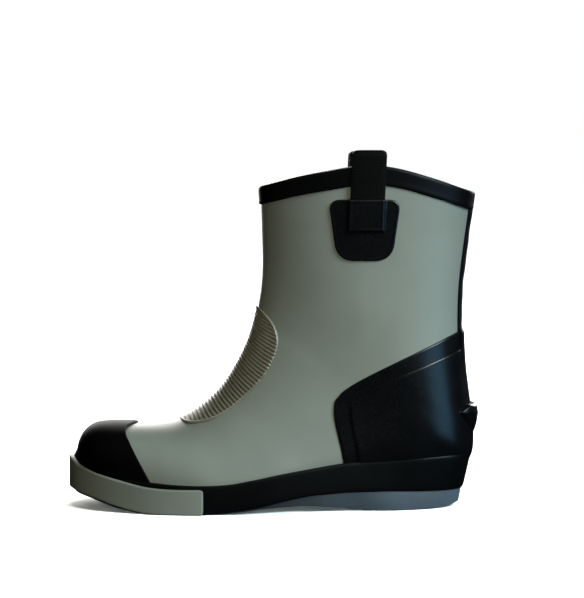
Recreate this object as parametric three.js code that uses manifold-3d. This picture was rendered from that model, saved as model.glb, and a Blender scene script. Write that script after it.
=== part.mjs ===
// A left deck boot in rubber, built the way a vulcanised boot is made: a last gives the form,
// every sheet of lining and rubber lies on it at its own height, and the sole unit closes it below.
// Millimetres. +Z up, toe towards -X, heel towards +X, outer (lateral) side towards -Y.

import * as THREE from "three";
import { LoftGeometry } from "three/addons/geometries/LoftGeometry.js";
import { mergeVertices } from "three/addons/utils/BufferGeometryUtils.js";
import Module from "manifold-3d";

const wasm = await Module();
wasm.setup();

// ---------------------------------------------------------------- driving dimensions

// Overall sizes. The patterns below are drafted for the drafted size and graded from it.
const BOOT_LENGTH = 300;
const BOOT_HEIGHT = 250;
const BALL_WIDTH = 108;
const DRAFTED = { length: 300, height: 250, width: 108 };

// Sheets, each with its own thickness
const FIT_GAP = 0.3;
const RUBBER = 2.2;
const LINING = 2.6;
const STIFFENER = 1.2;
const OVERLAY = 1.2;
const WEBBING = 1.2;
const FOXING = 2.6;
const BUMPER = 2.2;

// Bottom stack
const INSOLE_BOARD = 2;
const FOOTBED_FOAM = 4;
const FOOTBED_COVER = 1;
const OUTSOLE_HEEL_HEIGHT = 15.2;
const LASTING_MARGIN = 15;

// Back strip, kick lug, pull loops
const BACK_STRIP_WIDTH = 23;
const LUG_REACH = 5.8;
const LUG_HALF_WIDTH = 22;
const STRAP_WIDTH = 24.8;
const STRAP_FROM_COLLAR_FRONT = 79.5;
const LOOP_HEIGHT = 12.6;
const LOOP_LIFT = 3.5;
const LOOP_CORNER = 4;
const PATCH_TOP_WIDTH = 49;
const PATCH_BOTTOM_WIDTH = 37;
const PATCH_HEIGHT = 44.5;
const PATCH_DROP = 23.4;
const PATCH_CORNER = 9;
const PATCH_FORWARD = 1.6;
const BOX_HEIGHT = 24;
const BOX_WALL = 0.95;
const BINDING_HEIGHT = 12.5;
const BINDING_INNER_HEIGHT = 10;
const FOXING_DEPTH = 12;
const WEDGE_FROM_HEEL = 122;
const BUMPER_LENGTH = 98.4;

// How finely the last is sampled: sections from toe to collar, points round each section
const SECTIONS = 23;
const ROUND = 18;

const gradeX = BOOT_LENGTH / DRAFTED.length;
const gradeY = BALL_WIDTH / DRAFTED.width;
const gradeZ = BOOT_HEIGHT / DRAFTED.height;

// ---------------------------------------------------------------- the last

// Stations of the last from the toe, over the instep, round the heel and up to the collar. Each is a
// section of the outer face of the upper's rubber: its top or front end, its bottom or back end, its
// lateral and medial reach, the line of its ridge, how far up from the bottom it is widest, and how
// square its top and bottom halves are.
const STATIONS = [
  { top: [-146.3, 40.5], base: [-146.3, 22], side: [-1, 11], ridge: 5, wide: 0.45, square: [2.5, 2.6] },
  { top: [-144.4, 47.9], base: [-143.2, 17.2], side: [-12, 20.5], ridge: 5, wide: 0.43, square: [2.5, 2.7] },
  { top: [-140.6, 54.6], base: [-137, 13.6], side: [-21, 27.5], ridge: 5, wide: 0.4, square: [2.4, 2.9] },
  { top: [-133.5, 59.6], base: [-127, 10.8], side: [-31, 35.5], ridge: 5, wide: 0.38, square: [2.4, 3.1] },
  { top: [-121.5, 61.2], base: [-112, 8.6], side: [-39.5, 42.5], ridge: 5, wide: 0.36, square: [2.35, 3.3] },
  { top: [-105, 61.3], base: [-92, 7.2], side: [-46.5, 47.5], ridge: 5, wide: 0.34, square: [2.25, 3.4] },
  { top: [-88, 61.8], base: [-68, 6.9], side: [-51.5, 49.5], ridge: 5, wide: 0.32, square: [2.1, 3.4] },
  { top: [-74.5, 63.6], base: [-42, 7.8], side: [-54, 48.5], ridge: 4.5, wide: 0.31, square: [2, 3.4] },
  { top: [-61.3, 69.4], base: [-16, 10.4], side: [-53, 45], ridge: 4, wide: 0.3, square: [1.95, 3.3] },
  { top: [-49.9, 77.4], base: [12, 14.3], side: [-50.5, 41.5], ridge: 3, wide: 0.31, square: [1.95, 3.2] },
  { top: [-38, 89], base: [42, 18.6], side: [-47, 39.5], ridge: 2, wide: 0.33, square: [1.95, 3] },
  { top: [-28.8, 103], base: [74, 22.2], side: [-44, 39], ridge: 1, wide: 0.35, square: [2, 2.8] },
  { top: [-20.8, 118.5], base: [104, 24.4], side: [-42, 39.5], ridge: 0.5, wide: 0.37, square: [2.05, 2.5] },
  { top: [-16.2, 131], base: [130, 26.6], side: [-41, 40], ridge: 0, wide: 0.39, square: [2.1, 2.25] },
  { top: [-13, 143.5], base: [143, 37.5], side: [-40.5, 40], ridge: 0, wide: 0.4, square: [2.1, 2.15] },
  { top: [-10.4, 157], base: [145.2, 54], side: [-40.5, 40], ridge: 0, wide: 0.42, square: [2.1, 2.1] },
  { top: [-8.9, 170], base: [142.6, 78], side: [-40.7, 40.5], ridge: 0, wide: 0.44, square: [2.1, 2.1] },
  { top: [-8.5, 182], base: [139.4, 104], side: [-41.2, 41], ridge: 0, wide: 0.46, square: [2.1, 2.1] },
  { top: [-8.7, 194], base: [138, 134], side: [-42, 42], ridge: 0, wide: 0.48, square: [2.1, 2.1] },
  { top: [-9.1, 206], base: [138.6, 162], side: [-43, 43], ridge: 0, wide: 0.49, square: [2.1, 2.1] },
  { top: [-9.5, 219], base: [141.4, 189], side: [-44, 44], ridge: 0, wide: 0.5, square: [2.1, 2.1] },
  { top: [-10, 232], base: [145.2, 217], side: [-44.6, 44.6], ridge: 0, wide: 0.5, square: [2.1, 2.1] },
  { top: [-11.4, 262], base: [150.8, 262], side: [-45, 45], ridge: 0, wide: 0.5, square: [2.1, 2.1] },
];

// A smooth run of one pair of the stations' values, as a function of the share of the way along.
function along(pick) {
  const points = STATIONS.map((station) => new THREE.Vector3(...pick(station), 0));
  const curve = new THREE.CatmullRomCurve3(points, false, "centripetal");
  return (share) => curve.getPoint(share);
}

// Values that have no shape of their own are read between stations in proportion.
function between(pick) {
  const last = STATIONS.length - 1;
  return (share) => {
    const at = Math.min(share, 1) * last;
    const low = Math.min(Math.floor(at), last - 1);
    return THREE.MathUtils.lerp(pick(STATIONS[low]), pick(STATIONS[low + 1]), at - low);
  };
}

const lastTop = along((s) => [s.top[0] * gradeX, s.top[1] * gradeZ]);
const lastBase = along((s) => [s.base[0] * gradeX, s.base[1] * gradeZ]);
const lastSides = along((s) => [s.side[0] * gradeY, s.side[1] * gradeY]);
const lastRidge = between((s) => s.ridge * gradeY);
const lastWidest = between((s) => s.wide);
const lastSquareTop = between((s) => s.square[0]);
const lastSquareBase = between((s) => s.square[1]);

// A point of the last: share runs from toe to collar, turn goes round the section from its top end,
// over the medial side to its base and back over the lateral side.
function lastPoint(share, turn) {
  const top = lastTop(share);
  const base = lastBase(share);
  const sides = lastSides(share);
  const ridge = lastRidge(share);
  const waist = base.clone().lerp(top, lastWidest(share));
  const up = Math.cos(turn);
  const out = Math.sin(turn);
  const square = up > 0 ? lastSquareTop(share) : lastSquareBase(share);
  const reach = (Math.abs(up) ** square + Math.abs(out) ** square) ** (-1 / square);
  const end = up > 0 ? top : base;
  const profile = waist.clone().lerp(end, Math.abs(up) * reach);
  const side = out > 0 ? sides.y : sides.x;
  const across = ridge + (side - ridge) * Math.abs(out) * reach;
  return new THREE.Vector3(profile.x, across, profile.y);
}

// The outward normal of the last there.
function lastNormal(share, turn) {
  const step = 1e-3;
  const ahead = lastPoint(Math.min(share + step, 1), turn);
  const behind = lastPoint(Math.max(share - step, 0), turn);
  const left = lastPoint(share, turn - step);
  const right = lastPoint(share, turn + step);
  return ahead.sub(behind).cross(right.sub(left)).normalize();
}

// Sections are closer together round the toe and at the turn of the heel, where the form is tightest.
function sectionShare(index) {
  const even = index / (SECTIONS - 1);
  return even - 0.028 * Math.sin(2 * Math.PI * even);
}

// ---------------------------------------------------------------- solids

function toSolid(geometry) {
  const bare = new THREE.BufferGeometry();
  bare.setAttribute("position", geometry.getAttribute("position"));
  bare.setIndex(geometry.getIndex());
  const merged = mergeVertices(bare, 1e-4);
  return new wasm.Manifold(
    new wasm.Mesh({
      numProp: 3,
      vertProperties: new Float32Array(merged.attributes.position.array),
      triVerts: new Uint32Array(merged.index.array),
    }),
  );
}

function toGeometry(solid) {
  const { vertProperties, triVerts } = solid.getMesh();
  const geometry = new THREE.BufferGeometry();
  geometry.setAttribute("position", new THREE.BufferAttribute(new Float32Array(vertProperties), 3));
  geometry.setIndex(new THREE.BufferAttribute(new Uint32Array(triVerts), 1));
  return geometry;
}

// The whole form grown by a distance outside the upper's outer face, or shrunk by it when negative.
const formCache = new Map();
function form(offset) {
  const key = offset.toFixed(3);
  if (!formCache.has(key)) {
    const sections = [];
    for (let i = 0; i < SECTIONS; i++) {
      const share = sectionShare(i);
      const ring = [];
      for (let j = 0; j < ROUND; j++) {
        const turn = (-2 * Math.PI * j) / ROUND;
        ring.push(lastPoint(share, turn).addScaledVector(lastNormal(share, turn), offset));
      }
      sections.push(ring);
    }
    formCache.set(key, toSolid(new LoftGeometry(sections, { capStart: true, capEnd: true })));
  }
  return formCache.get(key);
}

// The sheet of the form between two heights over the upper's outer face.
function sheet(inner, outer) {
  return form(outer).subtract(form(inner));
}

// A side-view outline pushed through the boot across its width.
function across(shape, yFrom, yTo, segments = 6) {
  const geometry = new THREE.ExtrudeGeometry(shape, {
    depth: yTo - yFrom,
    bevelEnabled: false,
    curveSegments: segments,
  });
  geometry.rotateX(Math.PI / 2);
  geometry.translate(0, yTo, 0);
  return toSolid(geometry);
}

// A plan-view outline pushed up between two heights.
function upward(shape, zFrom, zTo, segments = 24) {
  const geometry = new THREE.ExtrudeGeometry(shape, {
    depth: zTo - zFrom,
    bevelEnabled: false,
    curveSegments: segments,
  });
  geometry.translate(0, 0, zFrom);
  return toSolid(geometry);
}

function box(xFrom, xTo, yFrom, yTo, zFrom, zTo) {
  const geometry = new THREE.BoxGeometry(xTo - xFrom, yTo - yFrom, zTo - zFrom);
  geometry.translate((xFrom + xTo) / 2, (yFrom + yTo) / 2, (zFrom + zTo) / 2);
  return toSolid(geometry);
}

// ---------------------------------------------------------------- drafting

const graded = ([x, z]) => new THREE.Vector2(x * gradeX, z * gradeZ);

// A closed side-view outline: straight runs between its corners, each corner rounded.
function roundedOutline(corners, radius) {
  const shape = new THREE.Shape();
  const count = corners.length;
  for (let i = 0; i < count; i++) {
    const corner = corners[i];
    const before = corners[(i + count - 1) % count];
    const after = corners[(i + 1) % count];
    const cut = Math.min(radius, corner.distanceTo(before) / 2.1, corner.distanceTo(after) / 2.1);
    const start = corner.clone().add(before.clone().sub(corner).setLength(cut));
    const end = corner.clone().add(after.clone().sub(corner).setLength(cut));
    if (i === 0) shape.moveTo(start.x, start.y);
    else shape.lineTo(start.x, start.y);
    shape.quadraticCurveTo(corner.x, corner.y, end.x, end.y);
  }
  shape.closePath();
  return shape;
}

// A closed side-view outline that follows one smooth drawn edge and is closed by straight runs.
function drawnOutline(edge, closing) {
  const points = edge.map(graded);
  const shape = new THREE.Shape();
  shape.moveTo(points[0].x, points[0].y);
  shape.splineThru(points.slice(1));
  closing.map(graded).forEach((point) => shape.lineTo(point.x, point.y));
  shape.closePath();
  return shape;
}

// A height line in side view, given from toe to heel, smooth unless it has flats to keep.
function heightLine(points, smooth = true) {
  const curve = new THREE.CatmullRomCurve3(
    points.map((point) => new THREE.Vector3(point[0] * gradeX, point[1] * gradeZ, 0)),
    false,
    "centripetal",
  );
  const samples = smooth ? curve.getPoints(points.length * 8) : curve.points;
  return (x) => {
    if (x <= samples[0].x) return samples[0].y;
    for (let i = 1; i < samples.length; i++) {
      const a = samples[i - 1];
      const b = samples[i];
      if (x <= b.x) return THREE.MathUtils.lerp(a.y, b.y, (x - a.x) / Math.max(b.x - a.x, 1e-6));
    }
    return samples[samples.length - 1].y;
  };
}

// The side-view region between a level and a height line, between two stops along X.
const FAR = 400;
const LINE_REACH = 158;
const LINE_STEPS = 26;
function regionBy(line, zStop, lift = 0, xFrom = -FAR, xTo = FAR) {
  const start = Math.max(xFrom, -LINE_REACH * gradeX);
  const stop = Math.min(xTo, LINE_REACH * gradeX);
  const shape = new THREE.Shape();
  shape.moveTo(xFrom, zStop);
  shape.lineTo(xTo, zStop);
  if (xTo > stop) shape.lineTo(xTo, line(xTo) + lift);
  for (let i = LINE_STEPS; i >= 0; i--) {
    const x = THREE.MathUtils.lerp(start, stop, i / LINE_STEPS);
    shape.lineTo(x, line(x) + lift);
  }
  if (xFrom < start) shape.lineTo(xFrom, line(xFrom) + lift);
  shape.closePath();
  return shape;
}

// The rim of the boot: high at the sides, lower at the front and the back.
const rimLine = heightLine([
  [-30, 235], [-10.4, 236.6], [16, 243], [39, 247.3], [56, 250.2], [70, 251.8],
  [84, 250.2], [96, 247.8], [119, 241.2], [141.6, 234], [149, 232.7], [170, 232.4],
]);
const under = (line, lift) => across(regionBy(line, -20, lift), -FAR, FAR);
const rimAt = (lift) => under(rimLine, lift);

// The sidewall's edges, where the toe bumper ends, and the walking face of the outsole.
const foxingTop = heightLine([
  [-152, 45.6], [-149.2, 44.6], [-145, 39], [-140, 34], [-134, 30.6], [-118, 26.6], [-93, 23.2],
  [-70.6, 21.4], [-52.4, 21], [-31.9, 22], [-17.5, 24.4], [6.7, 29], [31.3, 33.1], [50.6, 36],
  [79.7, 37.9], [104.3, 38.9], [129, 40.2], [150, 40.4],
]);
const toeSpring = [[-152, 10.8], [-136, 8.4], [-117, 3.4], [-101, 0.6], [-94, 0], [-52, 0]];
const foxingBase = heightLine([
  ...toeSpring, [-36, 1.4], [-22, 3.2], [-10, 5.4], [10, 10], [26, 13], [52, 14.8], [80, 15],
  [104, 14.2], [122, 13.7], [150, 13.4],
], false);
const bumperTop = heightLine([
  [-153, 38.8], [-150, 37], [-143, 32.5], [-133, 28.9], [-122.8, 26], [-111, 23.4], [-93.8, 19.9],
  [-79, 18.7], [-54, 18.6], [-40, 18.6],
]);
const bumperBase = heightLine([
  [-153, 11], [-143, 10.6], [-136, 9], [-127, 6.4], [-117, 4], [-106, 1.8], [-95, 0.4], [-83, 0],
  [-40, 0],
], false);
const walkingLine = heightLine([
  ...toeSpring, [-36, 0.5], [-10, 3.4], [20, 4.8], [50, 2.6], [68, 0.3], [74, 0], [126, 0],
  [132, 0.3], [150, 2.6],
], false);

// ---------------------------------------------------------------- plan of the sole

// The sidewall's outer face in plan, from the toe tip over the lateral side to the heel and back.
const SOLE_PLAN = [
  [-149.6, 6], [-146.6, -8], [-137.5, -22.5], [-120, -37.5], [-92, -50.5], [-58, -57], [-22, -57],
  [15, -52.5], [50, -46], [85, -39.8], [113, -35.4], [133, -26.5], [143.8, -13], [146.8, 0],
  [143.8, 13], [133, 26.3], [113, 35], [85, 38.6], [50, 39], [15, 41], [-22, 46.6], [-56, 51.6],
  [-88, 52.8], [-117, 46.4], [-137, 33], [-146.8, 19],
];
const PLAN_STEPS = 40;
const planCurve = new THREE.CatmullRomCurve3(
  SOLE_PLAN.map(([x, y]) => new THREE.Vector3(x * gradeX, y * gradeY, 0)),
  true,
  "centripetal",
);

// A point of the plan with the way in from it. The share is of the way round, and may wrap.
function planPoint(share) {
  const wrapped = ((share % 1) + 1) % 1;
  const tangent = planCurve.getTangentAt(wrapped);
  return { at: planCurve.getPointAt(wrapped), inward: new THREE.Vector3(-tangent.y, tangent.x, 0) };
}

const planRing = Array.from({ length: PLAN_STEPS }, (_, i) => planPoint(i / PLAN_STEPS));

// The plan drawn in by a distance, as a shape.
function planShape(inset) {
  const points = planRing.map(({ at, inward }) => at.clone().addScaledVector(inward, inset));
  return new THREE.Shape(points.map((point) => new THREE.Vector2(point.x, point.y)));
}

// The lower heel is drawn in: the sidewall leans inwards towards the ground there.
const LEAN_TOP = 39 * gradeZ;
const HEEL_LEAN = 8.5;
function heelLean(x, z) {
  const heel = THREE.MathUtils.smoothstep(x, 60 * gradeX, 140 * gradeX);
  return HEEL_LEAN * heel * Math.max(1 - z / LEAN_TOP, 0);
}

// The sole's own block: the plan drawn in by a distance, leaning with the heel.
function soleBlock(inset) {
  const levels = [-5, LEAN_TOP, 2 * LEAN_TOP];
  const sections = levels.map((z) =>
    planRing.map(({ at, inward }) => {
      const point = at.clone().addScaledVector(inward, inset + heelLean(at.x, z));
      return point.setZ(z);
    }),
  );
  return toSolid(new LoftGeometry(sections, { capStart: true, capEnd: true }));
}

// A strip of rubber that runs round the plan. Its section is a list of { inset, rise }: how far in
// from the plan, and the share of the way from its lower edge to its upper edge.
function strip(rings, lowLine, highLine, section, closed) {
  const rows = rings.map(({ at, inward }) => {
    const low = lowLine(at.x);
    const high = highLine(at.x);
    return section.map(({ inset, rise }) => {
      const z = THREE.MathUtils.lerp(low, high, rise);
      const point = at.clone().addScaledVector(inward, inset + heelLean(at.x, z));
      point.z = z;
      return point;
    });
  });
  if (closed) rows.push(rows[0]);
  return toSolid(new LoftGeometry(rows, { capStart: !closed, capEnd: !closed }));
}

// ---------------------------------------------------------------- finishes and nodes

const RUBBER_GREY = { color: 0x6b7468, roughness: 0.33, metalness: 0 };
const RUBBER_BLACK = { color: 0x0b0c0d, roughness: 0.42, metalness: 0 };
const SOLE_BLUE_GREY = { color: 0x4a5961, roughness: 0.7, metalness: 0 };
const KNIT = { color: 0x2b2d30, roughness: 0.95, metalness: 0 };
const WEB_BLACK = { color: 0x0a0a0b, roughness: 0.85, metalness: 0 };
const BOARD = { color: 0x9a8a6c, roughness: 0.9, metalness: 0 };
const FOAM = { color: 0x33363a, roughness: 0.95, metalness: 0 };

const boot = new THREE.Group();

function add(name, solid, finish) {
  const mesh = new THREE.Mesh(toGeometry(solid), new THREE.MeshStandardMaterial(finish));
  mesh.name = name;
  boot.add(mesh);
}

// ---------------------------------------------------------------- wall: rubber, stiffeners, lining

const WALL = RUBBER + FIT_GAP + LINING;
const LAID = FIT_GAP + OVERLAY;
const LINING_SEAM = 118 * gradeZ;
const shellTop = rimAt(-LAID);
const lastingHole = upward(planShape(FOXING + LASTING_MARGIN), -10, 36 * gradeZ);
const wallSheet = (inner, outer) => sheet(inner, outer).intersect(shellTop).subtract(lastingHole);

add("rubber_upper", wallSheet(-RUBBER, 0), RUBBER_GREY);

// Each stiffener is drawn by its side view; the lining is pared by the same outline, grown.
const stiffenerOuter = -(RUBBER + FIT_GAP);
const stiffenerInner = stiffenerOuter - STIFFENER;
const puffShape = (grow) =>
  drawnOutline(
    [[-104 + grow, 82], [-107 + grow, 58], [-103 + grow, 42], [-98 + grow, 30], [-95 + grow, 17.5 - grow]],
    [[-175, 17.5 - grow], [-175, 82]],
  );
const counterStiffenerShape = (grow) =>
  drawnOutline(
    [
      [165, 104 + grow], [128, 99 + grow], [100 - grow, 84 + grow], [76 - grow, 66 + grow],
      [70 - grow, 50], [72 - grow, 38 - grow],
    ],
    [[165, 38 - grow]],
  );
const stiffenerSheet = sheet(stiffenerInner, stiffenerOuter);
const stiffenerRoom = form(FIT_GAP).subtract(form(stiffenerInner - 2 * FIT_GAP));
let liningSheet = wallSheet(-WALL, stiffenerOuter);
for (const [name, outline] of [["toe_puff", puffShape], ["counter_stiffener", counterStiffenerShape]]) {
  add(name, stiffenerSheet.intersect(across(outline(0), -FAR, FAR)), BOARD);
  liningSheet = liningSheet.subtract(stiffenerRoom.intersect(across(outline(2 * FIT_GAP), -FAR, FAR)));
}
add("lining_foot", liningSheet.intersect(box(-FAR, FAR, -FAR, FAR, -FAR, LINING_SEAM)), KNIT);
add("lining_shaft", liningSheet.intersect(box(-FAR, FAR, -FAR, FAR, LINING_SEAM + FIT_GAP, FAR)), KNIT);

// ---------------------------------------------------------------- bottom stack

const baseLine = heightLine(STATIONS.slice(0, 14).map((station) => station.base));
const band = (low, high) => under(baseLine, high).subtract(under(baseLine, low));

const fillerPlan = upward(planShape(FOXING + LASTING_MARGIN + FIT_GAP), -10, 36 * gradeZ);
add("midsole_filler", sheet(-WALL, 0).intersect(fillerPlan), FOAM);

const boardTop = WALL + FIT_GAP + INSOLE_BOARD;
const foamTop = boardTop + FIT_GAP + FOOTBED_FOAM;
const coverTop = foamTop + FIT_GAP + FOOTBED_COVER;
const footbedRoom = form(-(WALL + 4 * FIT_GAP));
add("insole_board", form(-(WALL + FIT_GAP)).intersect(under(baseLine, boardTop)), BOARD);
add("footbed_foam", footbedRoom.intersect(band(boardTop + FIT_GAP, foamTop)), FOAM);
add("footbed_cover", footbedRoom.intersect(band(foamTop + FIT_GAP, coverTop)), KNIT);

// ---------------------------------------------------------------- sole unit

const CORE_INSET = FOXING + 1;
const OUTSOLE_INSET = 1.2;
const FOREPART_CORE_TOP = 14 * gradeZ;
const WEDGE_TOP = 31 * gradeZ;
const wedgeStart = SOLE_PLAN[13][0] * gradeX - WEDGE_FROM_HEEL;

const overForm = (solid) => solid.subtract(form(FIT_GAP));
const FLANGE_SECTION = [
  { inset: FOXING_DEPTH, rise: 0 }, { inset: FOXING_DEPTH, rise: 1 },
  { inset: OUTSOLE_INSET, rise: 1 }, { inset: OUTSOLE_INSET, rise: 0 },
];
const belowGround = () => -5;
const flange = strip(planRing, belowGround, (x) => foxingBase(x) - FIT_GAP, FLANGE_SECTION, true);
const core = soleBlock(CORE_INSET);
const forepartCore = core.intersect(box(-FAR, wedgeStart, -FAR, FAR, -FAR, FOREPART_CORE_TOP));
const heelCore = core.intersect(box(wedgeStart - 1, FAR, -FAR, FAR, -FAR, OUTSOLE_HEEL_HEIGHT));
const outsole = overForm(flange.add(forepartCore).add(heelCore)).subtract(under(walkingLine, 0));
add("outsole", outsole, SOLE_BLUE_GREY);

const wedgeBox = box(wedgeStart + FIT_GAP, FAR, -FAR, FAR, OUTSOLE_HEEL_HEIGHT + FIT_GAP, WEDGE_TOP);
add("heel_wedge", overForm(core.intersect(wedgeBox)), FOAM);

// The sidewall: a flat band with eased edges, laid over the upper and the core.
const BAND_BULGE = 0.3;
const BAND_SECTION = [
  { inset: FOXING_DEPTH, rise: 0 }, { inset: FOXING_DEPTH, rise: 1 }, { inset: 0.8, rise: 1 },
  { inset: 0.1, rise: 0.93 }, { inset: -BAND_BULGE, rise: 0.6 }, { inset: -0.2, rise: 0.12 },
  { inset: 0.4, rise: 0 },
];
const bandRoomFace = -(BAND_BULGE + FIT_GAP);
const BAND_ROOM_SECTION = [
  { inset: FOXING_DEPTH, rise: 0 }, { inset: FOXING_DEPTH, rise: 1 }, { inset: bandRoomFace, rise: 1 },
  { inset: bandRoomFace, rise: 0 },
];
const foxingRoom = strip(planRing, foxingBase, (x) => foxingTop(x) + FIT_GAP, BAND_ROOM_SECTION, true);
const coreRoom = soleBlock(CORE_INSET - FIT_GAP);
const lowCoreRoom = coreRoom.intersect(box(-FAR, FAR, -FAR, FAR, -FAR, FOREPART_CORE_TOP + FIT_GAP));
const heelCoreRoom = coreRoom.intersect(box(wedgeStart - 1, FAR, -FAR, FAR, -FAR, WEDGE_TOP + FIT_GAP));
const foxing = overForm(strip(planRing, foxingBase, foxingTop, BAND_SECTION, true));
add("foxing_band", foxing.subtract(lowCoreRoom).subtract(heelCoreRoom), RUBBER_BLACK);

// The toe bumper: a thicker strip round the toe, outside the sidewall.
const bumperEnd = SOLE_PLAN[0][0] * gradeX + BUMPER_LENGTH;
function shareAtX(direction) {
  let share = 0;
  while (planPoint(share).at.x < bumperEnd) share += direction * 5e-4;
  return share;
}
const BUMPER_STEPS = 22;
const bumperInner = bandRoomFace;
const bumperOuter = bumperInner - BUMPER;
const BUMPER_SECTION = [
  { inset: bumperInner, rise: 1 }, { inset: bumperOuter + 0.7, rise: 1 },
  { inset: bumperOuter, rise: 0.9 }, { inset: bumperOuter, rise: 0.06 },
  { inset: bumperOuter + 0.5, rise: 0 }, { inset: bumperInner, rise: 0 },
];
const bumperRun = Array.from({ length: BUMPER_STEPS + 1 }, (_, i) =>
  planPoint(THREE.MathUtils.lerp(shareAtX(-1), shareAtX(1), i / BUMPER_STEPS)),
);
const bumper = strip(bumperRun, bumperBase, bumperTop, BUMPER_SECTION, false);
add("toe_bumper", bumper.subtract(foxingRoom).subtract(form(LAID + FIT_GAP)), RUBBER_GREY);

// ---------------------------------------------------------------- rubber laid on the upper

const firstLayer = sheet(FIT_GAP, LAID);
const secondLayer = sheet(LAID + FIT_GAP, 2 * LAID);
const aboveFoxing = (solid) => solid.subtract(foxingRoom).subtract(under(foxingTop, 0));
const outline = (edge, closing) => across(drawnOutline(edge, closing), -FAR, FAR);

const toeCapCut = outline(
  [
    [-94, 70], [-94.4, 62.6], [-100, 61.6], [-105.6, 60.6], [-109, 58.6], [-109, 55.7],
    [-105.6, 49.9], [-99.7, 39.9], [-93.9, 29.9], [-88, 19],
  ],
  [[-175, 19], [-175, 70]],
);
add("toe_cap", aboveFoxing(firstLayer.intersect(toeCapCut)), RUBBER_BLACK);

const ribCut = outline(
  [
    [-12.2, 149.6], [-7, 144.6], [-3, 140.2], [0.4, 135.1], [2.2, 130.1], [3.1, 124.9], [2.6, 119.7],
    [0.9, 113.8], [-2.3, 106.6], [-7, 98.8], [-13.5, 90.8], [-20.7, 84], [-29.2, 76.5],
    [-37.1, 71], [-45, 66.7], [-53.6, 64.1], [-61.7, 62.8], [-67.2, 63.6], [-73, 66.5],
  ],
  [[-110, 110], [-60, 165]],
);
add("instep_rib_panel", firstLayer.intersect(ribCut), RUBBER_GREY);

const counterEdge = [
  [165, 139], [133.1, 129.2], [117.8, 122.7], [100.5, 115], [83.7, 107.1], [67, 98.7], [55.3, 91.9],
  [47.7, 86.1], [44.4, 81.2], [43.4, 74.4], [44.3, 65.3], [46.9, 53.6], [49.3, 42.8], [51.5, 30],
];
add("heel_counter", aboveFoxing(firstLayer.intersect(outline(counterEdge, [[165, 30]]))), RUBBER_BLACK);

const guardCut = outline(
  [
    [165, 125], [136.2, 117.4], [117.8, 110.5], [100.6, 103.3], [83.8, 96.3], [67, 87.8], [59.5, 82.8],
    [56.1, 77.8], [55.6, 71.1], [56.5, 63.6], [57.8, 56.1], [59.5, 46], [61, 34],
  ],
  [[165, 34]],
);
const stripBand = (grow) =>
  box(60 * gradeX, FAR, -BACK_STRIP_WIDTH / 2 - grow, BACK_STRIP_WIDTH / 2 + grow, -FAR, FAR);
const guard = aboveFoxing(secondLayer.intersect(guardCut).subtract(stripBand(FIT_GAP)));
for (const [name, y] of [["heel_guard_lateral", -FAR], ["heel_guard_medial", 0]])
  add(name, guard.intersect(box(-FAR, FAR, y, y + FAR, -FAR, FAR)), RUBBER_BLACK);

// The back strip steps up from the upper onto the counter, and stops under the binding.
const STEP_HEIGHT = 134 * gradeZ;
const counterGrown = counterEdge.map(([x, z]) => [x - FIT_GAP, z + 2 * FIT_GAP]);
const counterRoom = form(LAID + FIT_GAP).intersect(outline(counterGrown, [[170, 20]]));
const overStep = sheet(LAID, 4 * LAID).intersect(box(-FAR, FAR, -FAR, FAR, STEP_HEIGHT, FAR));
const backStrip = sheet(FIT_GAP, 2 * LAID)
  .intersect(stripBand(0))
  .intersect(rimAt(-(BINDING_HEIGHT + FIT_GAP)))
  .subtract(counterRoom)
  .subtract(overStep);
add("back_strip", aboveFoxing(backStrip), RUBBER_BLACK);

// The kick lug: flat on top, pointed towards its ends, curved round the heel.
const heelBackX = lastBase(15 / (STATIONS.length - 1)).x + 2 * LAID;
const lugSag = 14;
const lugRadius = (lugSag ** 2 + LUG_HALF_WIDTH ** 2) / (2 * lugSag);
const lugProfile = [[-11, 70], [-5, 75.5], [3, 76.3], [7.2, 73], [7.2, 66], [5, 59], [0.5, 54.5], [-6, 61]];
const lugShape = new THREE.Shape(lugProfile.map(([x, z]) => new THREE.Vector2(x, z * gradeZ)));
const lugCut = across(lugShape, -FAR, FAR).translate([heelBackX, 0, 0]);
const lugRound = new THREE.CylinderGeometry(lugRadius, lugRadius, 60 * gradeZ, 40);
lugRound.rotateX(Math.PI / 2);
lugRound.translate(heelBackX + LUG_REACH - lugRadius, 0, 66 * gradeZ);
const lug = toSolid(lugRound).intersect(lugCut).subtract(form(2 * LAID + FIT_GAP));
add("heel_kick_lug", lug, RUBBER_BLACK);

// ---------------------------------------------------------------- collar binding

const bindingInner = -(WALL + LAID);
const rim = rimAt(0);
const overRim = sheet(bindingInner, LAID).subtract(rimAt(-OVERLAY));
const outerLeg = firstLayer.subtract(rimAt(-BINDING_HEIGHT));
const innerLeg = sheet(bindingInner, -(WALL + FIT_GAP)).subtract(rimAt(-BINDING_INNER_HEIGHT));
const binding = overRim.add(outerLeg).add(innerLeg).intersect(rim);
add("collar_binding", binding, RUBBER_BLACK);

// ---------------------------------------------------------------- pull loops, one on each side

// Where the loop stands: back from the collar's front, at the rim, over the wall's middle.
const strapX = lastTop(1).x + STRAP_FROM_COLLAR_FRONT;
const rimHeight = rimLine(strapX);
const strapInner = LAID + FIT_GAP;
const strapOuter = strapInner + WEBBING;
const strapInside = bindingInner - FIT_GAP;
const strapInsideFace = strapInside - WEBBING;
const patchTop = rimHeight - PATCH_DROP;
const boxBase = patchTop - BOX_HEIGHT;
const strapEnd = boxBase + BOX_WALL + FIT_GAP;
const LEG_SHORT_OF_RIM = 1;

// The lateral reach of the last's outer face at a height of the shaft.
function shaftSide(z) {
  let share = 1;
  while (lastPoint(share, -Math.PI / 2).z > z) share -= 1e-3;
  return Math.abs(lastPoint(share, -Math.PI / 2).y);
}

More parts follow.
